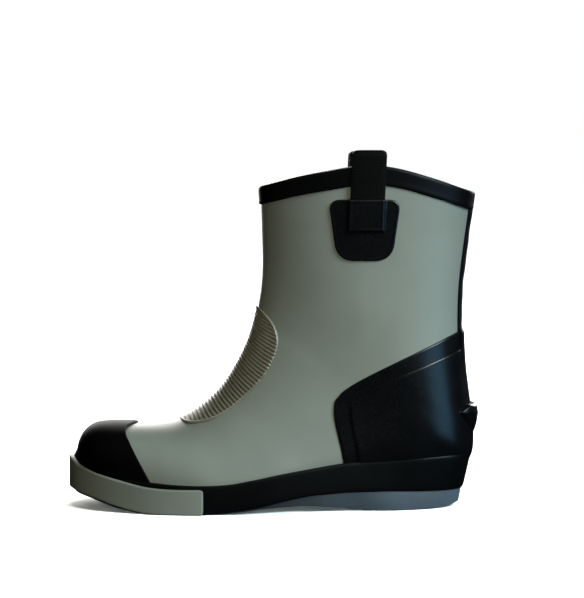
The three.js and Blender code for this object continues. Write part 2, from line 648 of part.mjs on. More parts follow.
const patchCorners = [
  [-PATCH_TOP_WIDTH / 2, 0], [PATCH_TOP_WIDTH / 2, 0], [PATCH_BOTTOM_WIDTH / 2, -PATCH_HEIGHT],
  [-PATCH_BOTTOM_WIDTH / 2, -PATCH_HEIGHT],
].map(([x, z]) => new THREE.Vector2(strapX - PATCH_FORWARD + x, patchTop + z));
const patchOutline = roundedOutline(patchCorners, PATCH_CORNER);

// A piece as wide as the webbing plus a margin on each side, between two heights.
const strapBox = (margin, y, low, high) =>
  box(strapX - STRAP_WIDTH / 2 - margin, strapX + STRAP_WIDTH / 2 + margin, y, y + FAR, low, high);

// The free loop of webbing: an arch with rounded shoulders, as wide as the strap.
function loopAt(middle) {
  const half = (strapOuter - strapInsideFace) / 2;
  const foot = rimHeight + LOOP_LIFT;
  const crown = rimHeight + LOOP_HEIGHT;
  const shoulder = crown - LOOP_CORNER;
  const centre = half - LOOP_CORNER;
  const arch = new THREE.Shape();
  arch.moveTo(-half, foot);
  arch.lineTo(-half + WEBBING, foot);
  arch.absarc(-centre, shoulder, LOOP_CORNER - WEBBING, Math.PI, Math.PI / 2, true);
  arch.absarc(centre, shoulder, LOOP_CORNER - WEBBING, Math.PI / 2, 0, true);
  arch.lineTo(half - WEBBING, foot);
  arch.lineTo(half, foot);
  arch.absarc(centre, shoulder, LOOP_CORNER, 0, Math.PI / 2, false);
  arch.absarc(-centre, shoulder, LOOP_CORNER, Math.PI / 2, Math.PI, false);
  arch.closePath();
  const geometry = new THREE.ExtrudeGeometry(arch, {
    depth: STRAP_WIDTH,
    bevelEnabled: false,
    curveSegments: 5,
  });
  geometry.rotateX(Math.PI / 2);
  geometry.rotateZ(Math.PI / 2);
  geometry.translate(strapX - STRAP_WIDTH / 2, middle, 0);
  return toSolid(geometry);
}

for (const [side, y] of [["lateral", -FAR], ["medial", 0]]) {
  const cover = sheet(FIT_GAP, strapOuter + FIT_GAP + BOX_WALL);
  const coverBox = strapBox(FIT_GAP + BOX_WALL, y, boxBase, patchTop);
  const pocket = sheet(strapInner - FIT_GAP, strapOuter + FIT_GAP);
  const pocketBox = strapBox(FIT_GAP, y, strapEnd - FIT_GAP, patchTop + 1);
  const patch = firstLayer
    .intersect(across(patchOutline, y, y + FAR))
    .add(cover.intersect(coverBox))
    .subtract(pocket.intersect(pocketBox));
  add(`pull_patch_${side}`, patch, RUBBER_BLACK);

  const legTop = rimHeight - LEG_SHORT_OF_RIM;
  const outer = sheet(strapInner, strapOuter).intersect(strapBox(0, y, strapEnd, legTop));
  add(`strap_outer_leg_${side}`, outer, WEB_BLACK);
  const inner = sheet(strapInsideFace, strapInside).intersect(strapBox(0, y, strapEnd, legTop));
  add(`strap_inner_leg_${side}`, inner, WEB_BLACK);

  // The free loop stands over the rim on its two legs, and swings about the rim.
  const middle = (y < 0 ? -1 : 1) * (shaftSide(rimHeight) + (strapOuter + strapInsideFace) / 2);
  add(`pull_loop_${side}`, loopAt(middle), WEB_BLACK);
}

// The boot stands with its outer bounds centred on the origin and its walking face at zero.
const bounds = new THREE.Box3().setFromObject(boot);
const centre = bounds.getCenter(new THREE.Vector3());
boot.children.forEach((mesh) => mesh.geometry.translate(-centre.x, -centre.y, -bounds.min.z));

export default boot;
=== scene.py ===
"""A left deck boot in rubber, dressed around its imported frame.

Drafting is done in millimetres on the boot's own last, with +Z up, the toe towards -X and the outer
side towards -Y. Every finished mesh is in metres, in the frame's place.
"""

from __future__ import annotations

import logging
import math
from dataclasses import dataclass, field
from enum import Enum
from typing import Callable

import bpy
import numpy as np
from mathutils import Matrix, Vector


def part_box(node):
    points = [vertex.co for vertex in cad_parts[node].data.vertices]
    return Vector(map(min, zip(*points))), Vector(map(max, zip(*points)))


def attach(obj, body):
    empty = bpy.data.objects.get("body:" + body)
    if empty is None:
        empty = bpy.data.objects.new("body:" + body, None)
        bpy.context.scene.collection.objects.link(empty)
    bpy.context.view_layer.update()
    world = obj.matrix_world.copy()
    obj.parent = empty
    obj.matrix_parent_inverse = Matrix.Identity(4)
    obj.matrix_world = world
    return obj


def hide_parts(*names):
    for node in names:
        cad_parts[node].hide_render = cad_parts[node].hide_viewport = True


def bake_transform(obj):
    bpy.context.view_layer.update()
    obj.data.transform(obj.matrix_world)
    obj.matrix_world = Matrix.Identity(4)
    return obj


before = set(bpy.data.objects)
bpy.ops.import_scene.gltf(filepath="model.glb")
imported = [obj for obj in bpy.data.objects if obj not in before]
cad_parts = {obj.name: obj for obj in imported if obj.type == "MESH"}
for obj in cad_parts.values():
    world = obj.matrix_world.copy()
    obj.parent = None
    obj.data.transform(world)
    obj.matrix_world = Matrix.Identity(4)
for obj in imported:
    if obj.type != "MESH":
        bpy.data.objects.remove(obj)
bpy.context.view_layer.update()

MM = 0.001
LOG = logging.getLogger("deck_boot")

# ------------------------------------------------------------------ sizes shared by the sub-assemblies

FIT_GAP = 0.3
RUBBER = 2.2
LINING = 2.6
OVERLAY = 1.2
LAID = FIT_GAP + OVERLAY
WALL = RUBBER + FIT_GAP + LINING
FOXING_DEPTH = 12.0
BUMPER = 2.2
INSOLE_BOARD = 2.0
TOE_END = -149.6
LAST_LENGTH = 380.0
LOOP_MIDDLE = 68.1
BINDING_HEIGHT = 12.5
STRAP_WIDTH = 24.8


class Side(Enum):
    """The two sides of a left boot, as the sign of Y."""

    LATERAL = -1
    MEDIAL = 1


# ------------------------------------------------------------------ curves


class Run:
    """A Catmull-Rom run through points, read at shares of the way from 0 to 1."""

    def __init__(self, points: list, closed: bool = False, centripetal: bool = True) -> None:
        """Works out the run's cubic pieces.

        Args:
            points: the points it passes, all of one length.
            closed: whether the last point runs on to the first.
            centripetal: whether spacing follows the distances, or is even.
        """
        p = np.asarray(points, float)
        if closed:
            ext = np.vstack([p[-1], p, p[0], p[1]])
        else:
            ext = np.vstack([2 * p[0] - p[1], p, 2 * p[-1] - p[-2]])
        gaps = np.linalg.norm(np.diff(ext, axis=0), axis=1)
        gaps = np.maximum(gaps, 1e-9) ** 0.5 if centripetal else np.ones(len(gaps))
        before, here, after = gaps[:-2, None], gaps[1:-1, None], gaps[2:, None]
        a, b, c, d = ext[:-3], ext[1:-2], ext[2:-1], ext[3:]
        t1 = ((b - a) / before - (c - a) / (before + here) + (c - b) / here) * here
        t2 = ((c - b) / here - (d - b) / (here + after) + (d - c) / after) * here
        self.parts = (b, t1, -3 * b + 3 * c - 2 * t1 - t2, 2 * b - 2 * c + t1 + t2)

    def __call__(self, share: np.ndarray) -> np.ndarray:
        """The points at the shares.

        Args:
            share: shares of the way, of any shape.

        Returns:
            The points, with one more axis than the shares.
        """
        pieces = len(self.parts[0])
        at = np.clip(np.asarray(share, float), 0, 1) * pieces
        index = np.minimum(at.astype(int), pieces - 1)
        w = (at - index)[..., None]
        c0, c1, c2, c3 = (part[index] for part in self.parts)
        return c0 + w * (c1 + w * (c2 + w * c3))


def height_line(points: list, smooth: bool = True) -> Callable[[np.ndarray], np.ndarray]:
    """A height in side view for each X.

    Args:
        points: (x, z) from toe to heel.
        smooth: whether the line is curved between its points.

    Returns:
        A function from X to Z.
    """
    line = Run(points)(np.linspace(0, 1, 8 * len(points) + 1)) if smooth else np.asarray(points, float)
    return lambda x: np.interp(x, line[:, 0], line[:, 1])


def ease(low: float, high: float, value: np.ndarray) -> np.ndarray:
    """A smooth step from 0 at low to 1 at high.

    Args:
        low: where it starts to rise.
        high: where it ends.
        value: the values to ease.

    Returns:
        The step at each value.
    """
    t = np.clip((value - low) / (high - low), 0, 1)
    return t * t * (3 - 2 * t)


def dome(distance: np.ndarray, radius: float) -> np.ndarray:
    """The rise of a rounded edge, from 0 at the edge to 1 a radius away from it.

    Args:
        distance: how far each point is from the edge.
        radius: the rounding.

    Returns:
        The rise at each point, up to 1.
    """
    t = np.clip(distance / radius, 0, 1)
    return np.sqrt(np.clip(1 - (1 - t) ** 2, 0, 1))


def distances(points: np.ndarray) -> np.ndarray:
    """How far along a run of points each of them lies, from 0 at the first."""
    return np.concatenate([[0], np.cumsum(np.linalg.norm(np.diff(points, axis=0), axis=1))])


class Outline:
    """A side-view region: one smooth drawn edge, closed by straight runs."""

    def __init__(self, edge: list, closing: list) -> None:
        """Draws the outline.

        Args:
            edge: (x, z) points of the edge that shows.
            closing: corners that close it out of sight.
        """
        self.edge = Run(edge)(np.linspace(0, 1, 10 * len(edge)))
        self.ring = np.vstack([self.edge, closing])

    def holds(self, x: np.ndarray, z: np.ndarray) -> np.ndarray:
        """Whether each point is inside.

        Args:
            x: along the boot.
            z: heights.

        Returns:
            True for each point that is inside.
        """
        inside = np.zeros(np.shape(x), bool)
        for (ax, az), (bx, bz) in zip(self.ring, np.roll(self.ring, -1, axis=0)):
            if az != bz:
                crosses = (az > z) != (bz > z)
                inside ^= crosses & (x < (bx - ax) * (z - az) / (bz - az) + ax)
        return inside

    def distance(self, x: np.ndarray, z: np.ndarray) -> np.ndarray:
        """How far each point is from the drawn edge, in side view.

        Args:
            x: along the boot.
            z: heights.

        Returns:
            Millimetres from the edge.
        """
        best = np.full(np.shape(x), 1e9)
        for (ax, az), (bx, bz) in zip(self.edge[:-1], self.edge[1:]):
            dx, dz = bx - ax, bz - az
            t = np.clip(((x - ax) * dx + (z - az) * dz) / (dx * dx + dz * dz + 1e-12), 0, 1)
            best = np.minimum(best, np.hypot(x - ax - t * dx, z - az - t * dz))
        return best


# ------------------------------------------------------------------ the last

STATIONS = [
    # top, base, lateral and medial reach, ridge, widest, squareness above and below
    (-146.3, 40.5, -146.3, 22, -1, 11, 5, 0.45, 2.5, 2.6),
    (-144.4, 47.9, -143.2, 17.2, -12, 20.5, 5, 0.43, 2.5, 2.7),
    (-140.6, 54.6, -137, 13.6, -21, 27.5, 5, 0.4, 2.4, 2.9),
    (-133.5, 59.6, -127, 10.8, -31, 35.5, 5, 0.38, 2.4, 3.1),
    (-121.5, 61.2, -112, 8.6, -39.5, 42.5, 5, 0.36, 2.35, 3.3),
    (-105, 61.3, -92, 7.2, -46.5, 47.5, 5, 0.34, 2.25, 3.4),
    (-88, 61.8, -68, 6.9, -51.5, 49.5, 5, 0.32, 2.1, 3.4),
    (-74.5, 63.6, -42, 7.8, -54, 48.5, 4.5, 0.31, 2, 3.4),
    (-61.3, 69.4, -16, 10.4, -53, 45, 4, 0.3, 1.95, 3.3),
    (-49.9, 77.4, 12, 14.3, -50.5, 41.5, 3, 0.31, 1.95, 3.2),
    (-38, 89, 42, 18.6, -47, 39.5, 2, 0.33, 1.95, 3),
    (-28.8, 103, 74, 22.2, -44, 39, 1, 0.35, 2, 2.8),
    (-20.8, 118.5, 104, 24.4, -42, 39.5, 0.5, 0.37, 2.05, 2.5),
    (-16.2, 131, 130, 26.6, -41, 40, 0, 0.39, 2.1, 2.25),
    (-13, 143.5, 143, 37.5, -40.5, 40, 0, 0.4, 2.1, 2.15),
    (-10.4, 157, 145.2, 54, -40.5, 40, 0, 0.42, 2.1, 2.1),
    (-8.9, 170, 142.6, 78, -40.7, 40.5, 0, 0.44, 2.1, 2.1),
    (-8.5, 182, 139.4, 104, -41.2, 41, 0, 0.46, 2.1, 2.1),
    (-8.7, 194, 138, 134, -42, 42, 0, 0.48, 2.1, 2.1),
    (-9.1, 206, 138.6, 162, -43, 43, 0, 0.49, 2.1, 2.1),
    (-9.5, 219, 141.4, 189, -44, 44, 0, 0.5, 2.1, 2.1),
    (-10, 232, 145.2, 217, -44.6, 44.6, 0, 0.5, 2.1, 2.1),
    (-11.4, 262, 150.8, 262, -45, 45, 0, 0.5, 2.1, 2.1),
]

RIM = height_line([
    (-30, 235), (-10.4, 236.6), (16, 243), (39, 247.3), (56, 250.2), (70, 251.8), (84, 250.2),
    (96, 247.8), (119, 241.2), (141.6, 234), (149, 232.7), (170, 232.4),
])
FOXING_TOP = height_line([
    (-152, 45.6), (-149.2, 44.6), (-145, 39), (-140, 34), (-134, 30.6), (-118, 26.6), (-93, 23.2),
    (-70.6, 21.4), (-52.4, 21), (-31.9, 22), (-17.5, 24.4), (6.7, 29), (31.3, 33.1), (50.6, 36),
    (79.7, 37.9), (104.3, 38.9), (129, 40.2), (150, 40.4),
])
TOE_SPRING = [(-152, 10.8), (-136, 8.4), (-117, 3.4), (-101, 0.6), (-94, 0), (-52, 0)]
FOXING_BASE = height_line(TOE_SPRING + [
    (-36, 1.4), (-22, 3.2), (-10, 5.4), (10, 10), (26, 13), (52, 14.8), (80, 15), (104, 14.2),
    (122, 13.7), (150, 13.4),
], smooth=False)
WALKING = height_line(TOE_SPRING + [
    (-36, 0.5), (-10, 3.4), (20, 4.8), (50, 2.6), (68, 0.3), (74, 0), (116, 0), (124, 0.6), (132, 2),
    (150, 6.2),
], smooth=False)
BUMPER_TOP = height_line([
    (-155, 42.4), (-152.6, 40.6), (-149, 36.8), (-143, 32.5), (-133, 28.9), (-122.8, 26), (-111, 23.4),
    (-93.8, 19.9), (-79, 18.7), (-54, 18.6), (-40, 18.6),
])
BUMPER_BASE = height_line([
    (-155, 15), (-150, 13.6), (-143, 12), (-136, 10.4), (-127, 8.2), (-117, 5.4), (-106, 2.7), (-95, 0.8),
    (-83, 0), (-40, 0),
], smooth=False)


class Last:
    """The boot's form: a point for each share from toe to collar and each turn round the section."""

    def __init__(self) -> None:
        """Reads the stations into smooth runs."""
        rows = np.asarray(STATIONS, float)
        self.top = Run(rows[:, 0:2])
        self.base = Run(rows[:, 2:4])
        self.sides = Run(rows[:, 4:6])
        self.shape = Run(rows[:, 6:10], centripetal=False)
        self.base_line = height_line(rows[:14, 2:4])

    def point(self, share: np.ndarray, turn: np.ndarray) -> np.ndarray:
        """Points of the upper's outer face.

        Args:
            share: from 0 at the toe to 1 at the collar.
            turn: radians round the section, from its top end over the medial side.

        Returns:
            (x, y, z) in millimetres on the last axis.
        """
        share, turn = np.broadcast_arrays(np.asarray(share, float), np.asarray(turn, float))
        top, base, sides, shape = self.top(share), self.base(share), self.sides(share), self.shape(share)
        ridge, widest, square_top, square_base = (shape[..., i] for i in range(4))
        up, out = np.cos(turn), np.sin(turn)
        square = np.where(up > 0, square_top, square_base)
        reach = (np.abs(up) ** square + np.abs(out) ** square) ** (-1 / square)
        waist = base + (top - base) * widest[..., None]
        end = np.where((up > 0)[..., None], top, base)
        profile = waist + (end - waist) * (np.abs(up) * reach)[..., None]
        side = np.where(out > 0, sides[..., 1], sides[..., 0])
        across = ridge + (side - ridge) * np.abs(out) * reach
        return np.stack([profile[..., 0], across, profile[..., 1]], axis=-1)

    def at(self, share: np.ndarray, turn: np.ndarray, offset: np.ndarray | float) -> np.ndarray:
        """Points a height above the upper's outer face.

        Args:
            share: from toe to collar.
            turn: radians round the section.
            offset: millimetres outwards.

        Returns:
            The points.
        """
        step = 1e-3
        ahead = self.point(np.minimum(share + step, 1), turn) - self.point(np.maximum(share - step, 0), turn)
        round_ = self.point(share, turn + step) - self.point(share, turn - step)
        normal = np.cross(ahead, round_)
        normal /= np.linalg.norm(normal, axis=-1, keepdims=True)
        return self.point(share, turn) + normal * np.broadcast_to(offset, normal.shape[:-1])[..., None]

    def share_by(self, turn: np.ndarray, level: Callable, low: float = 0.45) -> np.ndarray:
        """For each turn, the share at which a level that grows towards the collar passes zero.

        Args:
            turn: turns, as a flat array.
            level: a function of (x, z), below zero before the place sought.
            low: the share to search from.

        Returns:
            One share for each turn.
        """
        shares = np.linspace(low, 1, 1400)
        grid = self.point(shares[None, :], turn[:, None])
        values = np.maximum.accumulate(level(grid[..., 0], grid[..., 2]), axis=1)
        values += np.linspace(0, 1e-6, len(shares))
        return np.array([np.interp(0, row, shares) for row in values])

    def below_rim(self, turn: np.ndarray, drop: float) -> np.ndarray:
        """The share of each turn that lies a drop below the rim."""
        return self.share_by(turn, lambda x, z: z - RIM(x) + drop)

    def span(self, turn: np.ndarray, outline: Outline) -> tuple[np.ndarray, np.ndarray]:
        """Where each turn's line enters and leaves an outline.

        Args:
            turn: turns, as a flat array.
            outline: the side-view region.

        Returns:
            The shares of entry and of leaving, NaN for a turn that misses it.
        """
        shares = np.linspace(0, 1, 900)
        grid = self.point(shares[None, :], turn[:, None])
        inside = outline.holds(grid[..., 0], grid[..., 2])
        hit = inside.any(axis=1)
        first = inside.argmax(axis=1)
        final = len(shares) - 1 - inside[:, ::-1].argmax(axis=1)
        bounds = []
        for near, far in ((first, first - 1), (final, final + 1)):
            held = shares[near]
            lost = shares[np.clip(far, 0, len(shares) - 1)]
            for _ in range(14):
                mid = (held + lost) / 2
                p = self.point(mid, turn)
                ok = outline.holds(p[..., 0], p[..., 2])
                held, lost = np.where(ok, mid, held), np.where(ok, lost, mid)
            bounds.append(np.where(hit, held, np.nan))
        return bounds[0], bounds[1]

    def seek(
        self, targets: np.ndarray, axes: tuple[int, int], allowed: Callable,
    ) -> tuple[np.ndarray, np.ndarray]:
        """The share and turn of surface points known by two of their coordinates.

        Args:
            targets: the two coordinates on the last axis.
            axes: which coordinates they are.
            allowed: says which points of a coarse grid may be the start.

        Returns:
            Shares and turns.
        """
        s, t = np.meshgrid(np.linspace(0.02, 0.995, 220), np.linspace(-np.pi, np.pi, 181), indexing="ij")
        grid = self.point(s, t)
        keep = allowed(grid)
        s, t, seen = s[keep], t[keep], grid[keep][:, axes]
        flat = targets.reshape(-1, 2)
        batches = [part for part in np.array_split(flat, 60) if len(part)]
        start = np.concatenate([((seen[None] - part[:, None]) ** 2).sum(-1).argmin(1) for part in batches])
        share, turn = s[start], t[start]
        step = 1e-4
        for _ in range(8):
            here = self.point(share, turn)[:, axes]
            by_share = (self.point(share + step, turn)[:, axes] - here) / step
            by_turn = (self.point(share, turn + step)[:, axes] - here) / step
            miss = flat - here
            det = by_share[:, 0] * by_turn[:, 1] - by_share[:, 1] * by_turn[:, 0]
            det = np.where(np.abs(det) < 1e-6, 1e-6, det)
            ds = (miss[:, 0] * by_turn[:, 1] - miss[:, 1] * by_turn[:, 0]) / det
            dt = (by_share[:, 0] * miss[:, 1] - by_share[:, 1] * miss[:, 0]) / det
            share = np.clip(share + np.clip(ds, -0.02, 0.02), 0.001, 0.999)
            turn = turn + np.clip(dt, -0.1, 0.1)
        shape = targets.shape[:-1]
        return share.reshape(shape), turn.reshape(shape)


class SolePlan:
    """The sidewall's outer face in plan, and how the lower heel draws in."""

    LEAN_TOP = 39.0
    HEEL_LEAN = 8.5

    def __init__(self) -> None:
        """Reads the plan into points of even spacing with their ways in."""
        drawn = [
            (-149.6, 6), (-146.6, -8), (-137.5, -22.5), (-120, -37.5), (-92, -50.5), (-58, -57),
            (-22, -57), (15, -52.5), (50, -46), (85, -39.8), (113, -35.4), (133, -26.5), (143.8, -13),
            (146.8, 0), (143.8, 13), (133, 26.3), (113, 35), (85, 38.6), (50, 39), (15, 41),
            (-22, 46.6), (-56, 51.6), (-88, 52.8), (-117, 46.4), (-137, 33), (-146.8, 19),
        ]
        dense = Run(drawn, closed=True)(np.linspace(0, 1, 2600))
        length = distances(dense)
        even = np.linspace(0, 1, 2001)
        self.points = np.stack([np.interp(even, length / length[-1], dense[:, i]) for i in (0, 1)], -1)
        tangent = np.roll(self.points[:-1], -3, 0) - np.roll(self.points[:-1], 3, 0)
        tangent = np.vstack([tangent, tangent[:1]])
        tangent /= np.linalg.norm(tangent, axis=1, keepdims=True)
        self.inward = np.stack([-tangent[:, 1], tangent[:, 0]], -1)
        self.length = float(length[-1])

    def lean(self, x: np.ndarray, z: np.ndarray) -> np.ndarray:
        """How far in the sidewall leans at a height near the heel.

        Args:
            x: along the boot.
            z: heights.

        Returns:
            Millimetres inwards.
        """
        heel = ease(60, 140, x)
        return self.HEEL_LEAN * heel * np.maximum(1 - z / self.LEAN_TOP, 0)

    def at(
        self, share: np.ndarray, inset: np.ndarray, low: Callable, high: Callable, rise: np.ndarray,
    ) -> np.ndarray:
        """Points on a strip that runs round the plan.

        Args:
            share: share of the way round; it may wrap.
            inset: millimetres in from the plan.
            low: the strip's lower edge, a height for each X.
            high: its upper edge.
            rise: share of the way up between them.

        Returns:
            The points.
        """
        even = np.linspace(0, 1, len(self.points))
        share = np.mod(share, 1)
        x, y, ix, iy = (np.interp(share, even, a) for a in (*self.points.T, *self.inward.T))
        z = low(x) + (high(x) - low(x)) * rise
        draw = inset + self.lean(x, z)
        return np.stack([x + ix * draw, y + iy * draw, z], -1)

    def sides(
        self, inset: float, z: Callable, fraction: np.ndarray,
    ) -> tuple[np.ndarray, np.ndarray, np.ndarray]:
        """The plan's two edges at fractions of its length.

        Args:
            inset: millimetres in from the plan.
            z: the height, for each X, at which the lean is read.
            fraction: from 0 at the toe to 1 at the heel.

        Returns:
            X, and the lateral and medial Y there.
        """
        x, y = self.points.T
        draw = inset + self.lean(x, z(x))
        x, y = x + self.inward[:, 0] * draw, y + self.inward[:, 1] * draw

        def chain(start: int, stop: int) -> np.ndarray:
            """The points from one to another, on past the plan's first point if need be."""
            return np.arange(start, stop + 1) if start < stop else np.r_[start:len(x) - 1, 0:stop + 1]

        toe, heel = int(x.argmin()), int(x.argmax())
        ways = (chain(toe, heel), chain(heel, toe)[::-1])
        along = x[toe] + (x[heel] - x[toe]) * fraction
        one, two = (np.interp(along, np.maximum.accumulate(x[way]), y[way]) for way in ways)
        return along, np.minimum(one, two), np.maximum(one, two)


LAST = Last()
PLAN = SolePlan()


def frame_shift() -> np.ndarray:
    """Where the last's origin lies in the frame, in millimetres, read from the two pull loops."""
    low_a, high_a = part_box("pull_loop_lateral")
    low_b, high_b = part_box("pull_loop_medial")
    x = (low_a.x + high_a.x) / 2 / MM - LOOP_MIDDLE
    y = (low_a.y + high_a.y + low_b.y + high_b.y) / 4 / MM
    return np.array([x, y, 0.0])


SHIFT = frame_shift()


def to_row(points: np.ndarray) -> np.ndarray:
    """Points of the last's draft, in metres in the frame."""
    return (points + SHIFT) * MM


# ------------------------------------------------------------------ shader maths


class Wire:
    """A node socket that takes part in Python expressions, adding Math nodes as they are worked out."""

    def __init__(self, tree: bpy.types.NodeTree, socket: bpy.types.NodeSocket) -> None:
        """Holds the socket and the tree it is in."""
        self.tree, self.socket = tree, socket

    def _math(self, operation: str, *values: Wire | float) -> Wire:
        """A Math node on these values."""
        return Shade.node(self.tree, "ShaderNodeMath", {"operation": operation}, dict(enumerate(values)))

    def __add__(self, other: Wire | float) -> Wire:
        """self + other."""
        return self._math("ADD", self, other)

    def __sub__(self, other: Wire | float) -> Wire:
        """self - other."""
        return self._math("SUBTRACT", self, other)

    def __rsub__(self, other: float) -> Wire:
        """other - self."""
        return self._math("SUBTRACT", other, self)

    def __mul__(self, other: Wire | float) -> Wire:
        """self * other."""
        return self._math("MULTIPLY", self, other)

    def sine(self) -> Wire:
        """The sine of self."""
        return self._math("SINE", self)

    def step_to(self, low: float, high: float) -> Wire:
        """0 below low and 1 above high, eased between.

        Args:
            low: where it starts to rise.
            high: where it ends.

        Returns:
            The eased step.
        """
        settings = {"interpolation_type": "SMOOTHSTEP"}
        inputs = {"Value": self, "From Min": low, "From Max": high}
        return Shade.node(self.tree, "ShaderNodeMapRange", settings, inputs)

    __radd__ = __add__
    __rmul__ = __mul__


class Shade:
    """A material under construction."""

    def __init__(self, name: str) -> None:
        """Starts a material with one principled surface.

        Args:
            name: the material's name.
        """
        self.material = bpy.data.materials.new(name)
        self.material.use_nodes = True
        self.tree = self.material.node_tree
        self.surface = self.tree.nodes["Principled BSDF"]

    @staticmethod
    def node(
        tree: bpy.types.NodeTree, kind: str, settings: dict, inputs: dict, output: int | str = 0,
    ) -> Wire:
        """Adds one node.

        Args:
            tree: where it goes.
            kind: the node's type.
            settings: attributes, set first.
            inputs: values or wires by socket name or number.
            output: which output to read.

        Returns:
            The output, wrapped.
        """
        made = tree.nodes.new(kind)
        for key, value in settings.items():
            setattr(made, key, value)
        for key, value in inputs.items():
            if isinstance(value, Wire):
                tree.links.new(value.socket, made.inputs[key])
            else:
                made.inputs[key].default_value = value
        return Wire(tree, made.outputs[output])

    def add(self, kind: str, settings: dict, inputs: dict, output: int | str = 0) -> Wire:
        """Adds one node to this material."""
        return self.node(self.tree, kind, settings, inputs, output)

    def place(self) -> Wire:
        """Object coordinates, in metres."""
        return self.add("ShaderNodeTexCoord", {}, {}, "Object")

    def parts(self, vector: Wire) -> list[Wire]:
        """A vector's X, Y and Z."""
        node = self.add("ShaderNodeSeparateXYZ", {}, {0: vector}).socket.node
        return [Wire(self.tree, output) for output in node.outputs]

    def cloth(self) -> list[Wire]:
        """The piece's own UV map in millimetres across and along."""
        return self.parts(self.add("ShaderNodeUVMap", {"uv_map": "lay"}, {}))[:2]

    def noise(self, scale: float, detail: float = 3) -> Wire:
        """Noise over the object, 0 to 1.

        Args:
            scale: cells to a metre.
            detail: finer layers.

        Returns:
            The noise.
        """
        inputs = {"Vector": self.place(), "Scale": scale, "Detail": detail}
        return self.add("ShaderNodeTexNoise", {}, inputs)

    def blend(self, mask: Wire, dark: tuple, light: tuple) -> Wire:
        """A colour between two, by a mask.

        Args:
            mask: 0 to 1 over the surface.
            dark: the colour at 0.
            light: the colour at 1.

        Returns:
            The colour.
        """
        settings = {"data_type": "RGBA"}
        return self.add("ShaderNodeMix", settings, {0: mask, 6: (*dark, 1), 7: (*light, 1)}, 2)

    def bump(self, height: Wire, distance: float) -> None:
        """Feeds a height in units of distance, in metres, to the surface's normal.

        Args:
            height: the height over the surface.
            distance: metres for one unit of it.
        """
        made = self.add("ShaderNodeBump", {}, {"Height": height, "Distance": distance, "Strength": 1.0})
        self.tree.links.new(made.socket, self.surface.inputs["Normal"])

    def feed(self, **sockets: Wire | float | tuple) -> None:
        """Sets the surface's sockets: values directly, wires by a link.

        Args:
            sockets: values or wires by socket name, with _ for a space.
        """
        for key, value in sockets.items():
            target = self.surface.inputs[key.replace("_", " ")]
            if isinstance(value, Wire):
                self.tree.links.new(value.socket, target)
            else:
                target.default_value = value


@dataclass(frozen=True)
class MouldedRubber:
    """Satin moulded rubber with a faint mottle and a fine skin texture; the ribbed panel's warmer, yellower
    colours are painted warm light.
    """

    name: str
    dark: tuple
    light: tuple
    roughness: float
    gloss: float
    skin: float = 0.00002

    def make(self) -> bpy.types.Material:
        """Builds the material."""
        shade = Shade(self.name)
        cloud = shade.noise(14, 4)
        grain = shade.noise(1500, 2)
        wave = shade.noise(45, 2)
        shade.feed(
            Base_Color=shade.blend(cloud.step_to(0.3, 0.7), self.dark, self.light),
            Roughness=wave * 0.1 + grain * 0.06 + (self.roughness - 0.08),
            Specular_IOR_Level=self.gloss,
        )
        shade.bump(grain + wave * 4.0, self.skin)
        return shade.material


@dataclass(frozen=True)
class CompoundSole:
    """Matt sole rubber with a fine speckle."""

    name: str
    dark: tuple
    light: tuple

    def make(self) -> bpy.types.Material:
        """Builds the material."""
        shade = Shade(self.name)
        speck = shade.noise(2400, 1)
        cloud = shade.noise(30, 3)
        mask = (speck * 0.5 + cloud * 0.5).step_to(0.35, 0.65)
        shade.feed(
            Base_Color=shade.blend(mask, self.dark, self.light),
            Roughness=cloud * 0.15 + 0.5,
            Specular_IOR_Level=0.3,
        )
        shade.bump(speck, 0.00003)
        return shade.material


@dataclass(frozen=True)
class KnitLining:
    """Brushed knit: fine wales and courses with a soft nap."""

    name: str
    dark: tuple
    light: tuple
    pitch: float = 0.0016

    def make(self) -> bpy.types.Material:
        """Builds the material."""
        shade = Shade(self.name)
        turns = 2 * math.pi / self.pitch
        x, y, z = shade.parts(shade.place())
        wale = ((x + y) * (turns * 0.8)).sine() * 0.5 + 0.5
        course = (z * turns + ((x + y) * (turns * 0.8)).sine() * 1.4).sine() * 0.5 + 0.5
        nap = shade.noise(900, 3)
        weave = wale * course
        shade.feed(
            Base_Color=shade.blend(weave * 0.6 + nap * 0.4, self.dark, self.light),
            Roughness=nap * 0.1 + 0.82,
            Specular_IOR_Level=0.15,
            Sheen_Weight=0.25,
        )
        shade.bump(weave + nap * 0.8, 0.0003)
        return shade.material


@dataclass(frozen=True)
class Webbing:
    """Flat-woven webbing, its yarns across and along the strap, from the strap's own UV map."""

    name: str
    dark: tuple
    light: tuple
    rib: float = 1.1

    def make(self) -> bpy.types.Material:
        """Builds the material."""
        shade = Shade(self.name)
        across, along = shade.cloth()
        turns = 2 * math.pi / self.rib
        rib = (along * turns + (across * (turns * 0.5)).sine() * 0.7).sine() * 0.5 + 0.5
        warp = (across * (turns * 1.2)).sine() * 0.5 + 0.5
        fuzz = shade.noise(2500, 2)
        yarn = rib * (warp * 0.5 + 0.5)
        shade.feed(
            Base_Color=shade.blend(yarn * 0.7 + fuzz * 0.3, self.dark, self.light),
            Roughness=fuzz * 0.15 + 0.45,
            Specular_IOR_Level=0.06,
        )
        shade.bump(yarn + fuzz * 0.3, 0.00018)
        return shade.material


@dataclass(frozen=True)
class PressedSheet:
    """Pressed fibre board or closed-cell foam: a plain body with fine pores."""

    name: str
    dark: tuple
    light: tuple
    pore: float

    def make(self) -> bpy.types.Material:
        """Builds the material."""
        shade = Shade(self.name)
        cells = shade.add("ShaderNodeTexVoronoi", {}, {"Vector": shade.place(), "Scale": self.pore})
        cloud = shade.noise(60, 3)
        shade.feed(
            Base_Color=shade.blend(cells * 0.5 + cloud * 0.5, self.dark, self.light),
            Roughness=cloud * 0.1 + 0.8,
        )
        shade.bump(cells, 0.0001)
        return shade.material


